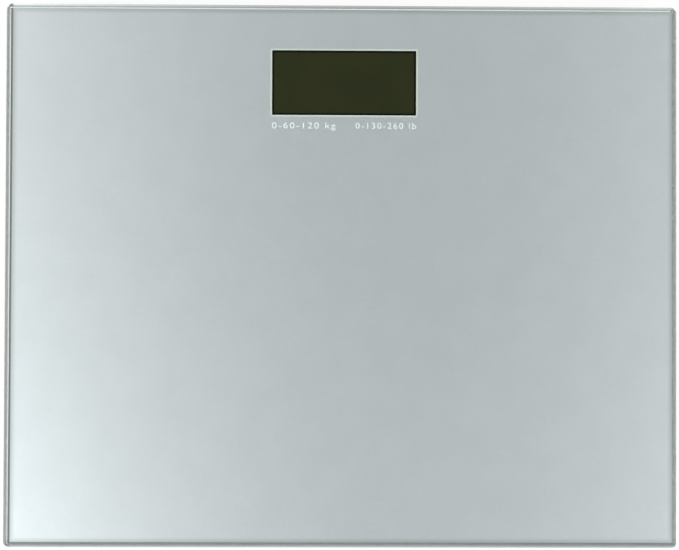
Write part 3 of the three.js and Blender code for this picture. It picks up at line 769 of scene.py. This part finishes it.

# %% [markdown]
# ## Display
# Behind the window lies a liquid crystal display: two sheets of thin glass with a dark olive polarising film
# on the front one. The glass is painted near-black, as painted shade for the dark inside of the display
# behind it. The film stops just short of the window, so this painted shade shows as a black line all round
# it. Switched off, it is a calm dark olive that is only a little uneven.


# %% Display finishes
def film_values(finish):
    drift = finish.noise(22, 2)
    mottle = finish.noise(1.2, 2)
    base = finish.between(drift.between(0.3, 0.7), colour(30, 32, 8), colour(34, 36, 11))
    return {
        "Base Color": finish.between(mottle.between(0.4, 0.75) * 0.3, base, colour(41, 44, 18)),
        "Roughness": 0.32,
        "Specular IOR Level": 0.2,
    }


# Painted shade: the cell glass is near-black, standing in for the dark inside of the display seen through it.
def shaded_cell_glass_values(finish):
    values = following(finish.noise(5), (4, 5, 3), (8, 9, 6), 0.25)
    return {**values, "Specular IOR Level": 0.1}


FILM = principled("polarising_film", film_values)
SHADED_CELL_GLASS = principled("display_glass_painted_shade", shaded_cell_glass_values)
print("display finishes:", FILM.name, "and", SHADED_CELL_GLASS.name)

# %% [markdown]
# The two glass plates are cut from a sheet and only have their edges broken. The film is glued on
# the front one, and a knife left it with a small slope all round.


# %% Display front
def slab(name, node, material, slot, edge=0.12):
    """A thin plate in a CAD node's place, its edges softened by a small radius all round."""
    low, high = span(node)
    size, at = (high - low)[:2], ((low + high) / 2)[:2]
    t = np.radians(np.linspace(0, 90, 4))
    lower = [(edge * (1 - math.sin(a)), low[2] + edge * (1 - math.cos(a))) for a in t]
    upper = [(inset, low[2] + high[2] - z) for inset, z in reversed(lower)]
    rings = [level(rounded(size, 0.4, inset, at, steps=4), z) for inset, z in lower + upper]
    return Shell().loft(rings, caps=True).piece(name, material, slot, "platform", [node])


slab("display_cell_front", "lcd_front_glass", SHADED_CELL_GLASS, "display")
slab("display_cell_rear", "lcd_rear_glass", SHADED_CELL_GLASS, "display")

FILM_SHORT = 1.9
film_top = ink_low[2] - 0.06
film_bottom = span("lcd_front_glass")[1][2]


def film_plan(inset=0.0):
    return rounded(np.array(WINDOW["size"]) - FILM_SHORT, 0.5, inset, WINDOW["at"], steps=5)


film_rings = [
    level(film_plan(), film_bottom),
    level(film_plan(), film_top - 0.1),
    level(film_plan(0.1), film_top),
]
Shell().loft(film_rings, caps=True).piece("display_film", FILM, "display", "platform")

# %% [markdown]
# ## Plastics, rubber and metal
# The feet and the housing are moulded in pale grey ABS from spark-eroded tools, which leaves a fine matt
# texture. The pads are black rubber with a little dust on them, and the tape is foam, whose pores are cells,
# painted darker in their hollows as painted shade. None of them is one flat colour: each has its own grain in
# tone, gloss and relief.


# %% Casing, rubber and foam
def casing_values(finish):
    texture = finish.noise(0.25, 3, 0.7)
    flow = finish.noise(9, 2)
    base = finish.between(flow.between(0.3, 0.7), colour(178, 181, 182), colour(187, 190, 191))
    return {
        "Base Color": finish.between(texture.between(0.35, 0.7) * 0.4, base, colour(168, 171, 172)),
        "Roughness": 0.5 + texture * 0.14,
        "Normal": finish.bump(texture, 0.03, 0.5),
    }


def rubber_values(finish):
    texture = finish.noise(0.4, 3, 0.7)
    dust = finish.noise(3, 3, 0.6)
    return {
        "Base Color": finish.between(dust.between(0.45, 0.8), colour(46, 47, 48), colour(66, 66, 65)),
        "Roughness": 0.78 + texture * 0.15,
        "Normal": finish.bump(texture, 0.04, 0.6),
    }


def foam_values(finish):
    # Painted shade: each pore is darker towards its middle, where the relief sinks.
    pores_and_shade = finish.cells(0.5)
    return {
        "Base Color": finish.between(pores_and_shade.between(0.1, 0.7), colour(214, 214, 208), colour(234, 234, 230)),
        "Roughness": 0.9,
        "Normal": finish.bump(pores_and_shade, 0.08, 0.6),
    }


CASING = principled("grey_casing", casing_values)
RUBBER = principled("black_rubber", rubber_values)
FOAM = principled("foam_tape", foam_values)
print("finishes:", CASING.name, RUBBER.name, FOAM.name)

# %% [markdown]
# The load cells are zinc-plated spring steel, rolled in one direction and spangled by the zinc. The
# contacts, the battery and the screws are nickel-plated. Rolled or brushed metal is a noise that is
# drawn out along one axis, in the roughness as well as in the relief.


# %% Metals
def steel_values(finish):
    rolled = finish.noise(1, 3, 0.6, finish.stretched(0.3, 4, 4))
    spangle = finish.cells(3)
    return {
        "Base Color": finish.between(spangle.between(0.1, 0.8), colour(196, 199, 203), colour(176, 180, 184)),
        "Metallic": 1.0,
        "Roughness": 0.26 + rolled * 0.2,
        "Normal": finish.bump(rolled, 0.01, 0.3),
    }


def plated_values(finish):
    brushed = finish.noise(0.6, 2, 0.6, finish.stretched(6, 0.25, 1))
    relief = finish.bump(brushed, 0.006, 0.3)
    return following(brushed, (208, 206, 199), (222, 220, 214), 0.2, 0.16, Metallic=1.0, Normal=relief)


def reflector_values(finish):
    brushed = finish.noise(0.4, 2, 0.5, finish.stretched(0.2, 5, 1))
    return following(brushed, (150, 155, 132), (166, 171, 148), 0.35, 0.15, Metallic=0.6)


STEEL = principled("zinc_plated_steel", steel_values)
PLATED = principled("nickel_plate", plated_values)
REFLECTOR = principled("reflector_foil", reflector_values)
print("finishes:", STEEL.name, PLATED.name, REFLECTOR.name)

# %% [markdown]
# Silicone and epoxy are poured, so their skin is smooth and swells in slow waves. Nylon and the
# switch's plastic are moulded and hazy, and the wires' jackets are a slightly rippled red. The rubber
# strips that connect the display are stacked from black and pink layers, far thinner than they are
# long. The board has tracks under its green mask: the edges between cells stand in for them.


# %% Small parts inside
def sealant_values(finish):
    skin = finish.noise(2, 2)
    relief = finish.bump(skin, 0.2, 0.5)
    return following(skin, (228, 226, 219), (242, 241, 236), 0.35, 0.2, Normal=relief)


def nylon_values(finish):
    relief = finish.bump(finish.noise(0.3), 0.01, 0.4)
    return following(finish.noise(4, 3), (214, 213, 204), (226, 225, 218), 0.45, 0.15, Normal=relief)


def lead_values(finish):
    return following(finish.noise(1.2, 2), (168, 44, 36), (190, 60, 50), 0.4, 0.15)


def board_values(finish):
    weave = finish.noise(0.5, 1, 0.5, finish.stretched(1, 5, 1)) * 0.5
    tracks = finish.cells(2.4, "DISTANCE_TO_EDGE").between(0.04, 0.1)
    mask = finish.between(weave, colour(38, 100, 58), colour(50, 118, 70))
    return {
        "Base Color": finish.between(tracks, colour(66, 140, 84), mask),
        "Roughness": 0.32 + weave * 0.2,
        "Normal": finish.bump(1 - tracks, 0.04, 0.6),
    }


def epoxy_values(finish):
    skin = finish.noise(3, 2)
    return following(skin, (20, 20, 21), (32, 32, 33), 0.2, 0.25, Normal=finish.bump(skin, 0.15, 0.5))


def switch_values(finish):
    texture = finish.noise(0.3, 2)
    relief = finish.bump(texture, 0.02, 0.4)
    return following(texture, (30, 31, 33), (40, 41, 43), 0.45, 0.15, Normal=relief)


def zebra_values(finish):
    layers = finish.noise(0.2, 0, 0.5, finish.stretched(1, 0.02, 0.02)).between(0.35, 0.65)
    return following(layers, (60, 60, 60), (196, 130, 150), 0.75)


INSIDE = {
    "load_cell": STEEL,
    "strain_gauge": principled("silicone", sealant_values),
    "cell_retainer": principled("natural_nylon", nylon_values),
    "gauge_lead": principled("wire_jacket", lead_values),
    "lcd_reflector": REFLECTOR,
    "zebra_strip": principled("zebra_rubber", zebra_values),
    "circuit_board": principled("circuit_board", board_values),
    "chip_blob": principled("black_epoxy", epoxy_values),
    "unit_switch": principled("switch_body", switch_values),
    "battery_contact": PLATED,
}
INSIDE["lcd_holder"] = INSIDE["cell_retainer"]
INSIDE["switch_plunger"] = INSIDE["unit_switch"]
print(len(INSIDE), "kinds of small parts have a finish")

# %% [markdown]
# The pieces that stay as the CAD made them are inside, so they only need their finish. The others
# are hidden as their finer pieces are made.

# %% Finishes of the CAD pieces
for name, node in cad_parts.items():
    kind = next((k for k in INSIDE if name.startswith(k)), None)
    node.data.materials.clear()
    node.data.materials.append(INSIDE[kind] if kind else CASING)
print(len(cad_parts), "CAD pieces have a finish")

# %% [markdown]
# ## Feet
# A foot is a rubber pad in a round plastic cap. The cap's neck goes up into a bracket that is taped
# under the glass, and a boss in its middle presses on the load cell. All of it is round, so each
# piece is a profile turned about the foot's axis. The heights come from the boxes of the CAD pieces,
# and the radii are theirs.

# %% Measures of a foot
corner_of = {c: middle(f"rubber_pad_{c}")[:2] for c in CORNERS}
pad_high = span("rubber_pad_front_left")[1]
cap_low, cap_high = span("foot_cap_front_left")
bracket_high = span("foot_bracket_front_left")[1]
PAD_RADIUS = 21.5
SHOULDER = pad_high[2] + 2.2
CAP_RADIUS = 24.5
NECK = (21.4, 22.6)
SKIRT = (25.98, 27.98)
FLANGE = 29.98
FLANGE_THICK = 1.2
CELL = (10.1, 12.6)
print("feet at", {c: p.round(1).tolist() for c, p in corner_of.items()})

# %% [markdown]
# The pad grips the floor. A ring groove in its sole gives way to water, and the rim is soft, so that
# it neither marks the floor nor peels off.


# %% Rubber pad
def rubber_pad(corner):
    """A disc with a ring groove in its sole and a soft lower rim."""
    at = corner_of[corner]
    top = pad_high[2]
    groove = [(14, 0), (14.3, 0.8), (15.7, 0.8), (16, 0)]
    profile = [(0, 0), *groove, (PAD_RADIUS, 0), (PAD_RADIUS, top), (0, top)]
    shell = lathed(profile, [0, 0.25, 0.3, 0.3, 0.25, 0.8, 0.3, 0], at)
    shell.piece(f"pad_{corner}", RUBBER, "rubber", f"foot_{corner}", [f"rubber_pad_{corner}"])


for corner in CORNERS:
    rubber_pad(corner)


# %% [markdown]
# The cap is a shallow cup: a rim holds the pad, a step is the shoulder, and the neck carries four
# hooks that catch in the bracket when the scale is lifted.


# %% Foot cap
def foot_cap(corner):
    """The cup and its boss turned, the hooks and ribs as wedges and blocks on it."""
    at = corner_of[corner]
    pad_top, rim, boss = pad_high[2], cap_low[2], cap_high[2]
    neck_top = SHOULDER + 2.1
    profile = [
        (0, pad_top),
        (PAD_RADIUS + 0.3, pad_top),
        (PAD_RADIUS + 0.3, rim),
        (CAP_RADIUS, rim),
        (CAP_RADIUS, SHOULDER),
        (NECK[1], SHOULDER),
        (NECK[1], neck_top),
        (NECK[0], neck_top),
        (NECK[0], SHOULDER),
        (5, SHOULDER),
        (4.5, boss),
        (0, boss),
    ]
    shell = lathed(profile, [0, 0, 0.25, 0.9, 0.7, 0.3, 0.2, 0.2, 0.2, 0.3, 0.6, 0])
    root, catch, hook_top = SHOULDER - 0.5, SHOULDER + 3.0, SHOULDER + 4.0
    hook = [
        (NECK[0], root),
        (NECK[1], root),
        (NECK[1], catch),
        (NECK[1] + 1.6, catch),
        (NECK[1] + 1.2, hook_top),
        (NECK[0], hook_top),
    ]
    for angle in (45, 135, 225, 315):
        shell.loft(wedge(hook, angle, 24), caps=True)
    for turn in (0, math.pi / 2):
        shell.box((2 * NECK[0] + 0.4, 1.4), (0, 0), root, SHOULDER + 1.8, turn)
    shell.moved(foot_turn[corner], *at)
    shell.piece(f"cap_{corner}", CASING, "casing", f"foot_{corner}", [f"foot_cap_{corner}"])


duct_middle = {c: middle(f"wire_duct_{c}")[:2] for c in CORNERS}
foot_turn = {c: math.atan2(*(duct_middle[c] - corner_of[c])[::-1]) for c in CORNERS}
for corner in CORNERS:
    foot_cap(corner)


# %% [markdown]
# The bracket hangs from the glass: a flange for the tape, a skirt with a little draft so that it
# leaves its mould, and a lip inside it that the hooks catch on. Two ribs seat the load cell, and two
# stakes hold its retainer.


# %% Foot bracket
def foot_bracket(corner):
    """Flange, roof, skirt and lip turned, with the ribs and stakes as blocks and rods on the roof."""
    top = bracket_high[2]
    roof, flange_low = top - 1.5, top - FLANGE_THICK
    skirt_bottom = SHOULDER + 1.4
    lip_top = skirt_bottom + 1.3
    lip, draft = NECK[1] + 0.3, 0.8
    profile = [
        (0, roof),
        (SKIRT[0], roof),
        (SKIRT[0], lip_top),
        (lip, lip_top),
        (lip, skirt_bottom),
        (SKIRT[1] - draft, skirt_bottom),
        (SKIRT[1], flange_low),
        (FLANGE, flange_low),
        (FLANGE, top),
        (0, top),
    ]
    shell = lathed(profile, [0, 0.3, 0.2, 0.2, 0.3, 0.9, 0.5, 0.3, 0.2, 0])
    root = roof + 0.4
    head, neck, collar = 2.3, 1.5, 2.6
    tip, head_top = 7.7, 8.3
    stake = [(0, tip), (head, tip), (head, head_top), (neck, head_top), (neck, CELL[0])]
    stake += [(collar, CELL[0]), (collar, root), (0, root)]
    rib_size, rib_offset, stake_offset = (28, 4), 13, 21
    for side in (-1, 1):
        shell.box(rib_size, (0, side * rib_offset), CELL[1], root)
        shell.loft(turned(stake, (0, side * stake_offset), 24))
    shell.moved(foot_turn[corner], *corner_of[corner])
    shell.piece(f"bracket_{corner}", CASING, "casing", "platform", [f"foot_bracket_{corner}"])


def tape_ring(corner):
    """A ring of foam tape: it bulges a little between the bracket and the ink."""
    low, high = (end[2] for end in span(f"adhesive_pad_{corner}"))
    hole, rim, bulge = 15, 29.2, 29.35
    profile = [(hole, low), (rim, low), (bulge, (low + high) / 2), (rim, high), (hole, high)]
    shell = Shell().loft(turned(filleted(profile, 0.15, steps=3), corner_of[corner], 96), wrap=True)
    shell.piece(f"tape_{corner}", FOAM, "foam_tape", "platform", [f"adhesive_pad_{corner}"])


for corner in CORNERS:
    foot_bracket(corner)
    tape_ring(corner)

# %% [markdown]
# ## Wire ducts
# A thin channel runs from each bracket to the housing and covers the wires. It is a U that is open
# towards the glass. Its section is carried along a straight line, and each point of the section
# starts on the bracket's round flange and ends at the housing's wall.

# %% Wire ducts
housing_low, housing_high = span("housing_frame")
duct_low, duct_high = span("wire_duct_rear_left")


def wire_duct(corner):
    """A section carried from the bracket's circle to the housing's wall.

    A point of the section at a side offset v starts where v meets the circle: the root of the
    radius squared less v squared. The circle is the skirt's below the flange and the flange's
    beside it.
    """
    width, wall, floor_height, gap = 9.0, 1.0, 0.8, 0.1
    step = bracket_high[2] - FLANGE_THICK - gap
    under = step - 0.05
    low, high = duct_low[2], duct_high[2]
    half, inner = width / 2, width / 2 - wall
    section = filleted(
        [
            (-half, low),
            (half, low),
            (half, under),
            (half, step),
            (half, high),
            (inner, high),
            (inner, step),
            (inner, under),
            (inner, low + floor_height),
            (-inner, low + floor_height),
            (-inner, under),
            (-inner, step),
            (-inner, high),
            (-half, high),
            (-half, step),
            (-half, under),
        ],
        [0.8, 0.8, 0, 0, 0.15, 0.15, 0, 0, 0.4, 0.4, 0, 0, 0.15, 0.15, 0, 0],
        steps=5,
    )
    v = section[:, 0]
    circles = np.where(section[:, 1] < step - 0.01, SKIRT[1], FLANGE) + gap
    start = np.sqrt(circles**2 - v**2)
    x, y = corner_of[corner]
    angle = foot_turn[corner]
    if corner.startswith("front"):
        end = (housing_low[1] - gap - y - v * math.cos(angle)) / math.sin(angle)
    else:
        face = housing_low[0] - gap if x < 0 else housing_high[0] + gap
        end = np.full(len(v), abs(face - x))
    share = np.linspace(0, 1, 25)[:, None]
    along = start * (1 - share) + end * share
    rings = np.stack([along, np.broadcast_to(v, along.shape), np.broadcast_to(section[:, 1], along.shape)], 2)
    shell = Shell().loft(rings, caps=True).moved(angle, x, y)
    shell.piece(f"duct_{corner}", CASING, "casing", "platform", [f"wire_duct_{corner}"])


for corner in CORNERS:
    wire_duct(corner)

# %% [markdown]
# ## Display housing
# The housing is two trays screwed together. The upper one is taped under the glass; the lower one is
# the cover, with the battery bay, its door, the unit button and four screws. Both are plans with
# round corners, stacked as rings; faces with holes are cut into triangles around their holes.

# %% Measures of the housing
HOUSE_SIZE = (housing_high - housing_low)[:2]
HOUSE_AT = ((housing_high + housing_low) / 2)[:2]
HOUSE_CORNER = 7.0
FLOOR = span("housing_cover")[0][2]
SEAM = FLOOR + 2.0
HALF_GAP = 0.05
posts = [middle(f"cover_screw_{c}")[:2] for c in CORNERS]
button_at = middle("unit_button")[:2]
coin_at = middle("coin_cell")[:2]
DOOR_SIZE = (26.0, 27.0)
POST = (1.5, 3.1)


def house_plan(inset=0.0):
    return rounded(HOUSE_SIZE, HOUSE_CORNER, inset, HOUSE_AT, steps=12)


print("housing", HOUSE_SIZE.round(1), "at", HOUSE_AT.round(1))

# %% [markdown]
# The upper tray opens downwards. Its roof has an opening over the display, four tubes inside take
# the screws, and a ring of foam on the roof seals it against the glass. The rings go all round the
# wall's section and close, so the wall is as thick as it is on the real one.


# %% Upper tray
def upper_tray():
    """Rings in order: up the outer wall, in over the roof, down the window and back down inside."""
    lcd_low, lcd_high = span("lcd_front_glass")
    opening = rounded((lcd_high - lcd_low)[:2] + 0.6, 0.4, 0, WINDOW["at"], steps=12)
    top, roof, seam = housing_high[2], housing_high[2] - 1.5, SEAM + HALF_GAP
    soft, wall = 0.3, 1.8
    outer = walls(house_plan, seam, top - soft, 0.25)
    rings = [*outer, level(house_plan(soft), top), level(opening, top), level(opening, roof)]
    rings += [level(house_plan(wall), roof), level(house_plan(wall), seam)]
    shell = Shell().loft(rings, wrap=True)
    board_top, root = span("circuit_board")[1][2], roof + 0.4
    tube = [(POST[0], board_top), (POST[1], board_top), (POST[1], root), (POST[0], root)]
    for at in posts:
        shell.loft(turned(tube, at, 32), wrap=True)
    return shell


upper_tray().piece("housing_upper", CASING, "casing", "platform", ["housing_frame"])

# %% [markdown]
# The foam ring is cut from a sheet with a knife and pressed thin, so its outer side bulges a little.

# %% Foam ring on the roof
gasket_low, gasket_high = (end[2] for end in span("housing_gasket"))
gasket_hole = rounded((74.4, 38.4), 0.6, 0, WINDOW["at"], steps=12)
pressed, bulge = 1.0, 0.15
gasket_rings = [
    level(house_plan(pressed), gasket_low),
    level(house_plan(pressed - bulge), (gasket_low + gasket_high) / 2),
    level(house_plan(pressed), gasket_high),
    level(gasket_hole, gasket_high),
    level(gasket_hole, gasket_low),
]
Shell().loft(gasket_rings, wrap=True).piece(
    "housing_tape", FOAM, "foam_tape", "platform", ["housing_gasket"]
)

# %% [markdown]
# The door lies in a recess of the cover, which has a half-round scoop for the thumb. The scoop only
# goes part of the way in, so the recess has one plan with the scoop and one without.

# %% Door recess
RECESS_GAP = 0.3
DOOR_CORNER = 1.5
recess_low = coin_at - np.array(DOOR_SIZE) / 2 - RECESS_GAP
recess_high = coin_at + np.array(DOOR_SIZE) / 2 + RECESS_GAP
SCOOP = 6.0


def scoop_arc():
    """A half circle around the middle of the recess's rear side."""
    angle = np.linspace(0, np.pi, 17)
    return np.stack([np.cos(angle), np.sin(angle)], 1) * SCOOP + np.array([coin_at[0], recess_high[1]])


def recess_plan(scoop=False):
    """The door's recess. With scoop, the rear side runs round a half circle instead of straight."""
    plan = rounded(recess_high - recess_low, DOOR_CORNER + RECESS_GAP, 0, coin_at, steps=6)
    arc = scoop_arc()
    return np.concatenate([plan[:6], arc if scoop else arc[[0, -1]], plan[6:]])


def scooped(outset):
    """The recess with its scoop, all of it moved outwards by outset.

    Each point moves square to the line from the point before it to the point after it.
    """
    plan = recess_plan(scoop=True)
    along = np.roll(plan, -1, 0) - np.roll(plan, 1, 0)
    along = along / np.linalg.norm(along, axis=1, keepdims=True)
    return plan + outset * np.stack([along[:, 1], -along[:, 0]], 1)


print("recess", (recess_high - recess_low).round(2), "with a scoop of radius", SCOOP)

# %% [markdown]
# The cover's face is one flat plan with holes: the recess, the button's hole and four sunk screw
# holes. Each hole's wall is a stack of rings with a softened mouth. Inside stand the battery's wall,
# the screws' tubes, and a lip that goes up into the upper tray.

# %% Lower cover
BUTTON_HOLE = 4.3
SINK = 2.8
BAY = (10.6, 11.8)


def lower_cover():
    """The outer face with its holes, the holes' walls, the inner face and what rises from it."""
    edge, mouth = 0.8, 0.2
    inside = SEAM - HALF_GAP
    scoop_top, ledge, seat = FLOOR + 0.9, FLOOR + 1.4, FLOOR + 1.2
    shell = Shell()

    def hole(plan_at, top):
        """A hole's wall, whose mouth in the outer face is a little wider."""
        shell.loft([level(plan_at(mouth), FLOOR), level(plan_at(0), FLOOR + mouth), level(plan_at(0), top)])
        return plan_at(mouth)

    def round_hole(radius, at, top, steps):
        return hole(lambda outset: circle(radius + outset, at, steps), top)

    mouths = [hole(scooped, scoop_top), round_hole(BUTTON_HOLE, button_at, inside, 48)]
    mouths += [round_hole(SINK, at, seat, 40) for at in posts]
    shell.lid(FLOOR, house_plan(edge), *mouths)
    shell.loft(walls(house_plan, FLOOR, inside, edge))
    shell.lid(scoop_top, scoop_arc())
    shell.loft([level(recess_plan(), scoop_top), level(recess_plan(), ledge)])
    bay = circle(BAY[0], coin_at, 64)
    shell.lid(ledge, recess_plan(), bay)
    shell.loft([level(bay, ledge), level(bay, inside)])
    screw_holes = [circle(POST[0], at, 40) for at in posts]
    for at, screw_hole in zip(posts, screw_holes):
        shell.lid(seat, circle(SINK, at, 40), screw_hole)
        shell.loft([level(screw_hole, seat), level(screw_hole, inside)])
    shell.lid(inside, house_plan(0.0), bay, circle(BUTTON_HOLE, button_at, 48), *screw_holes)
    board_low = 9.7
    for at in posts:
        tube = [(POST[0], inside), (POST[1], inside), (POST[1], board_low), (POST[0], board_low)]
        shell.loft(turned(tube, at, 32), wrap=True)
    lip_top = SEAM + 2.4
    lip = [(2.1, inside), (2.1, lip_top), (3.3, lip_top), (3.3, inside)]
    shell.loft([level(house_plan(inset), z) for inset, z in lip], wrap=True)
    bay_top = 9.0
    bay_wall = [(BAY[0], inside), (BAY[1], inside), (BAY[1], bay_top), (BAY[0], bay_top)]
    shell.loft(wedge(filleted(bay_wall, 0.15, 3), 0, 322, coin_at, 65), caps=True)
    return shell


lower_cover().piece("housing_lower", CASING, "casing", "platform", ["housing_cover"])


# %% [markdown]
# The door is a plate that lies flush in its recess. Two hooks reach under the cover at the hinge
# side, a tab clips at the other, and three low ribs give the thumb a grip.


# %% Battery door
def battery_door():
    """A plate with a soft outer edge, blocks for hooks and tab, and ribs that are half ellipses."""
    top = FLOOR + 1.2

    def plan_at(inset):
        return rounded(DOOR_SIZE, DOOR_CORNER, inset, coin_at, steps=6)

    rings = [*walls(plan_at, FLOOR, top - 0.15, 0.35), level(plan_at(0.15), top)]
    shell = Shell().loft(rings, caps=True)
    front, rear = coin_at[1] - DOOR_SIZE[1] / 2, coin_at[1] + DOOR_SIZE[1] / 2
    root, hook_offset = top - 0.3, 9.0
    post_size, hook_size, tab_size = (4, 1.2), (3.9, 3.0), (7, 1.1)
    for side in (-1, 1):
        x = coin_at[0] + side * hook_offset
        shell.box(post_size, (x, front + post_size[1] / 2), root, top + 1.2)
        shell.box(hook_size, (x, front - 0.35), top + 0.1, top + 1.3)
    shell.box(tab_size, (coin_at[0], rear - tab_size[1] / 2), root, top + 1.5)
    t = np.radians(np.linspace(0, 180, 9))
    half_width, half_length, proud, first, pitch = 0.35, 4.0, 0.25, 3.0, 1.6
    across, up = half_width * np.cos(t), FLOOR + 0.05 - proud * np.sin(t)
    ends = coin_at[0] - half_length, coin_at[0] + half_length
    for row in range(3):
        y = rear - first - pitch * row + across
        shell.loft([np.column_stack([np.full(len(t), x), y, up]) for x in ends], caps=True)
    return shell


battery_door().piece("door", CASING, "casing", "battery_door", ["battery_door"])

# %% [markdown]
# The unit button changes from kilograms to pounds. It is turned: a face that is a little hollow for
# a fingertip, a flange that keeps it behind its hole, and a stem that presses the switch.


# %% Unit button
def unit_button():
    """The button's profile turned about its own axis."""
    low, high = (end[2] for end in span("unit_button"))
    face, skirt, stem = 2.4, 4, 2
    flange, flange_low, flange_high = 5.4, SEAM + 0.3, SEAM + 0.3 + 0.5
    profile = [(0, low + 0.15), (face, low), (skirt, low), (skirt, flange_low), (flange, flange_low)]
    profile += [(flange, flange_high), (stem, flange_high), (stem, high), (0, high)]
    return lathed(profile, [0, 1.0, 0.4, 0.1, 0.1, 0.1, 0.1, 0.2, 0], button_at, 64)


unit_button().piece("button", INSIDE["unit_switch"], "switch", "unit_button", ["unit_button"])

# %% [markdown]
# The screws are pan heads with a cross recess. The head's face is a ring cut around a cross, and the
# cross is a stack of two plans.


# %% Screws
def cross_plan(at, half=1.5, arm=0.36):
    """A plus sign: twelve corners, three to each quarter turn."""
    quarter = np.array([(half, -arm), (half, arm), (arm, arm)])
    turns = np.radians(np.arange(4) * 90)
    cosine, sine = np.cos(turns), np.sin(turns)
    spin = np.stack([np.stack([cosine, sine], 1), np.stack([-sine, cosine], 1)], 1)
    return np.einsum("pk,qkj->qpj", quarter, spin).reshape(-1, 2) + np.array(at)


def cover_screw(corner, at):
    """A head with a rounded rim and a cross that gets narrower as it goes in, and a plain shank."""
    low, high = (end[2] for end in span(f"cover_screw_{corner}"))
    head_radius, soft = 2.5, 0.45
    seat, cross_end = low + 1.0, low + 0.5
    mouth, inner = cross_plan(at), cross_plan(at, 1.1, 0.28)
    shell = Shell().lid(low, circle(head_radius - soft, at, 40), mouth)
    shell.loft(walls(lambda inset: circle(head_radius - inset, at, 40), low, seat, soft))
    shell.loft([level(mouth, low), level(inner, cross_end)]).lid(cross_end, inner)
    shank = circle(1.2, at, 40)
    shell.lid(seat, circle(head_radius, at, 40), shank).loft([level(shank, seat), level(shank, high)])
    shell.lid(high, shank)
    shell.piece(f"screw_{corner}", PLATED, "plated_steel", "platform", [f"cover_screw_{corner}"])


for corner, at in zip(CORNERS, posts):
    cover_screw(corner, at)

# %% [markdown]
# The battery is a coin cell, a nickel-plated can with its lid crimped into it. It shows only while
# the door is open, but then it is what one looks at.


# %% Coin cell
def coin_cell():
    """The can's rim is rounded below; a shallow step shows where the lid sits in the gasket."""
    low, high = (end[2] for end in span("coin_cell"))
    can, crimp = 10, high - 0.6
    profile = [(0, low), (can, low), (can, crimp), (8.9, crimp), (8.7, high), (0, high)]
    return lathed(profile, [0, 0.7, 0.2, 0.15, 0.3, 0], coin_at)


coin_cell().piece("battery", PLATED, "plated_steel", "platform", ["coin_cell"])

# %% [markdown]
# ## View transform
# Colours are shown with the Standard view transform.

# %% View transform
scene.view_settings.view_transform = "Standard"
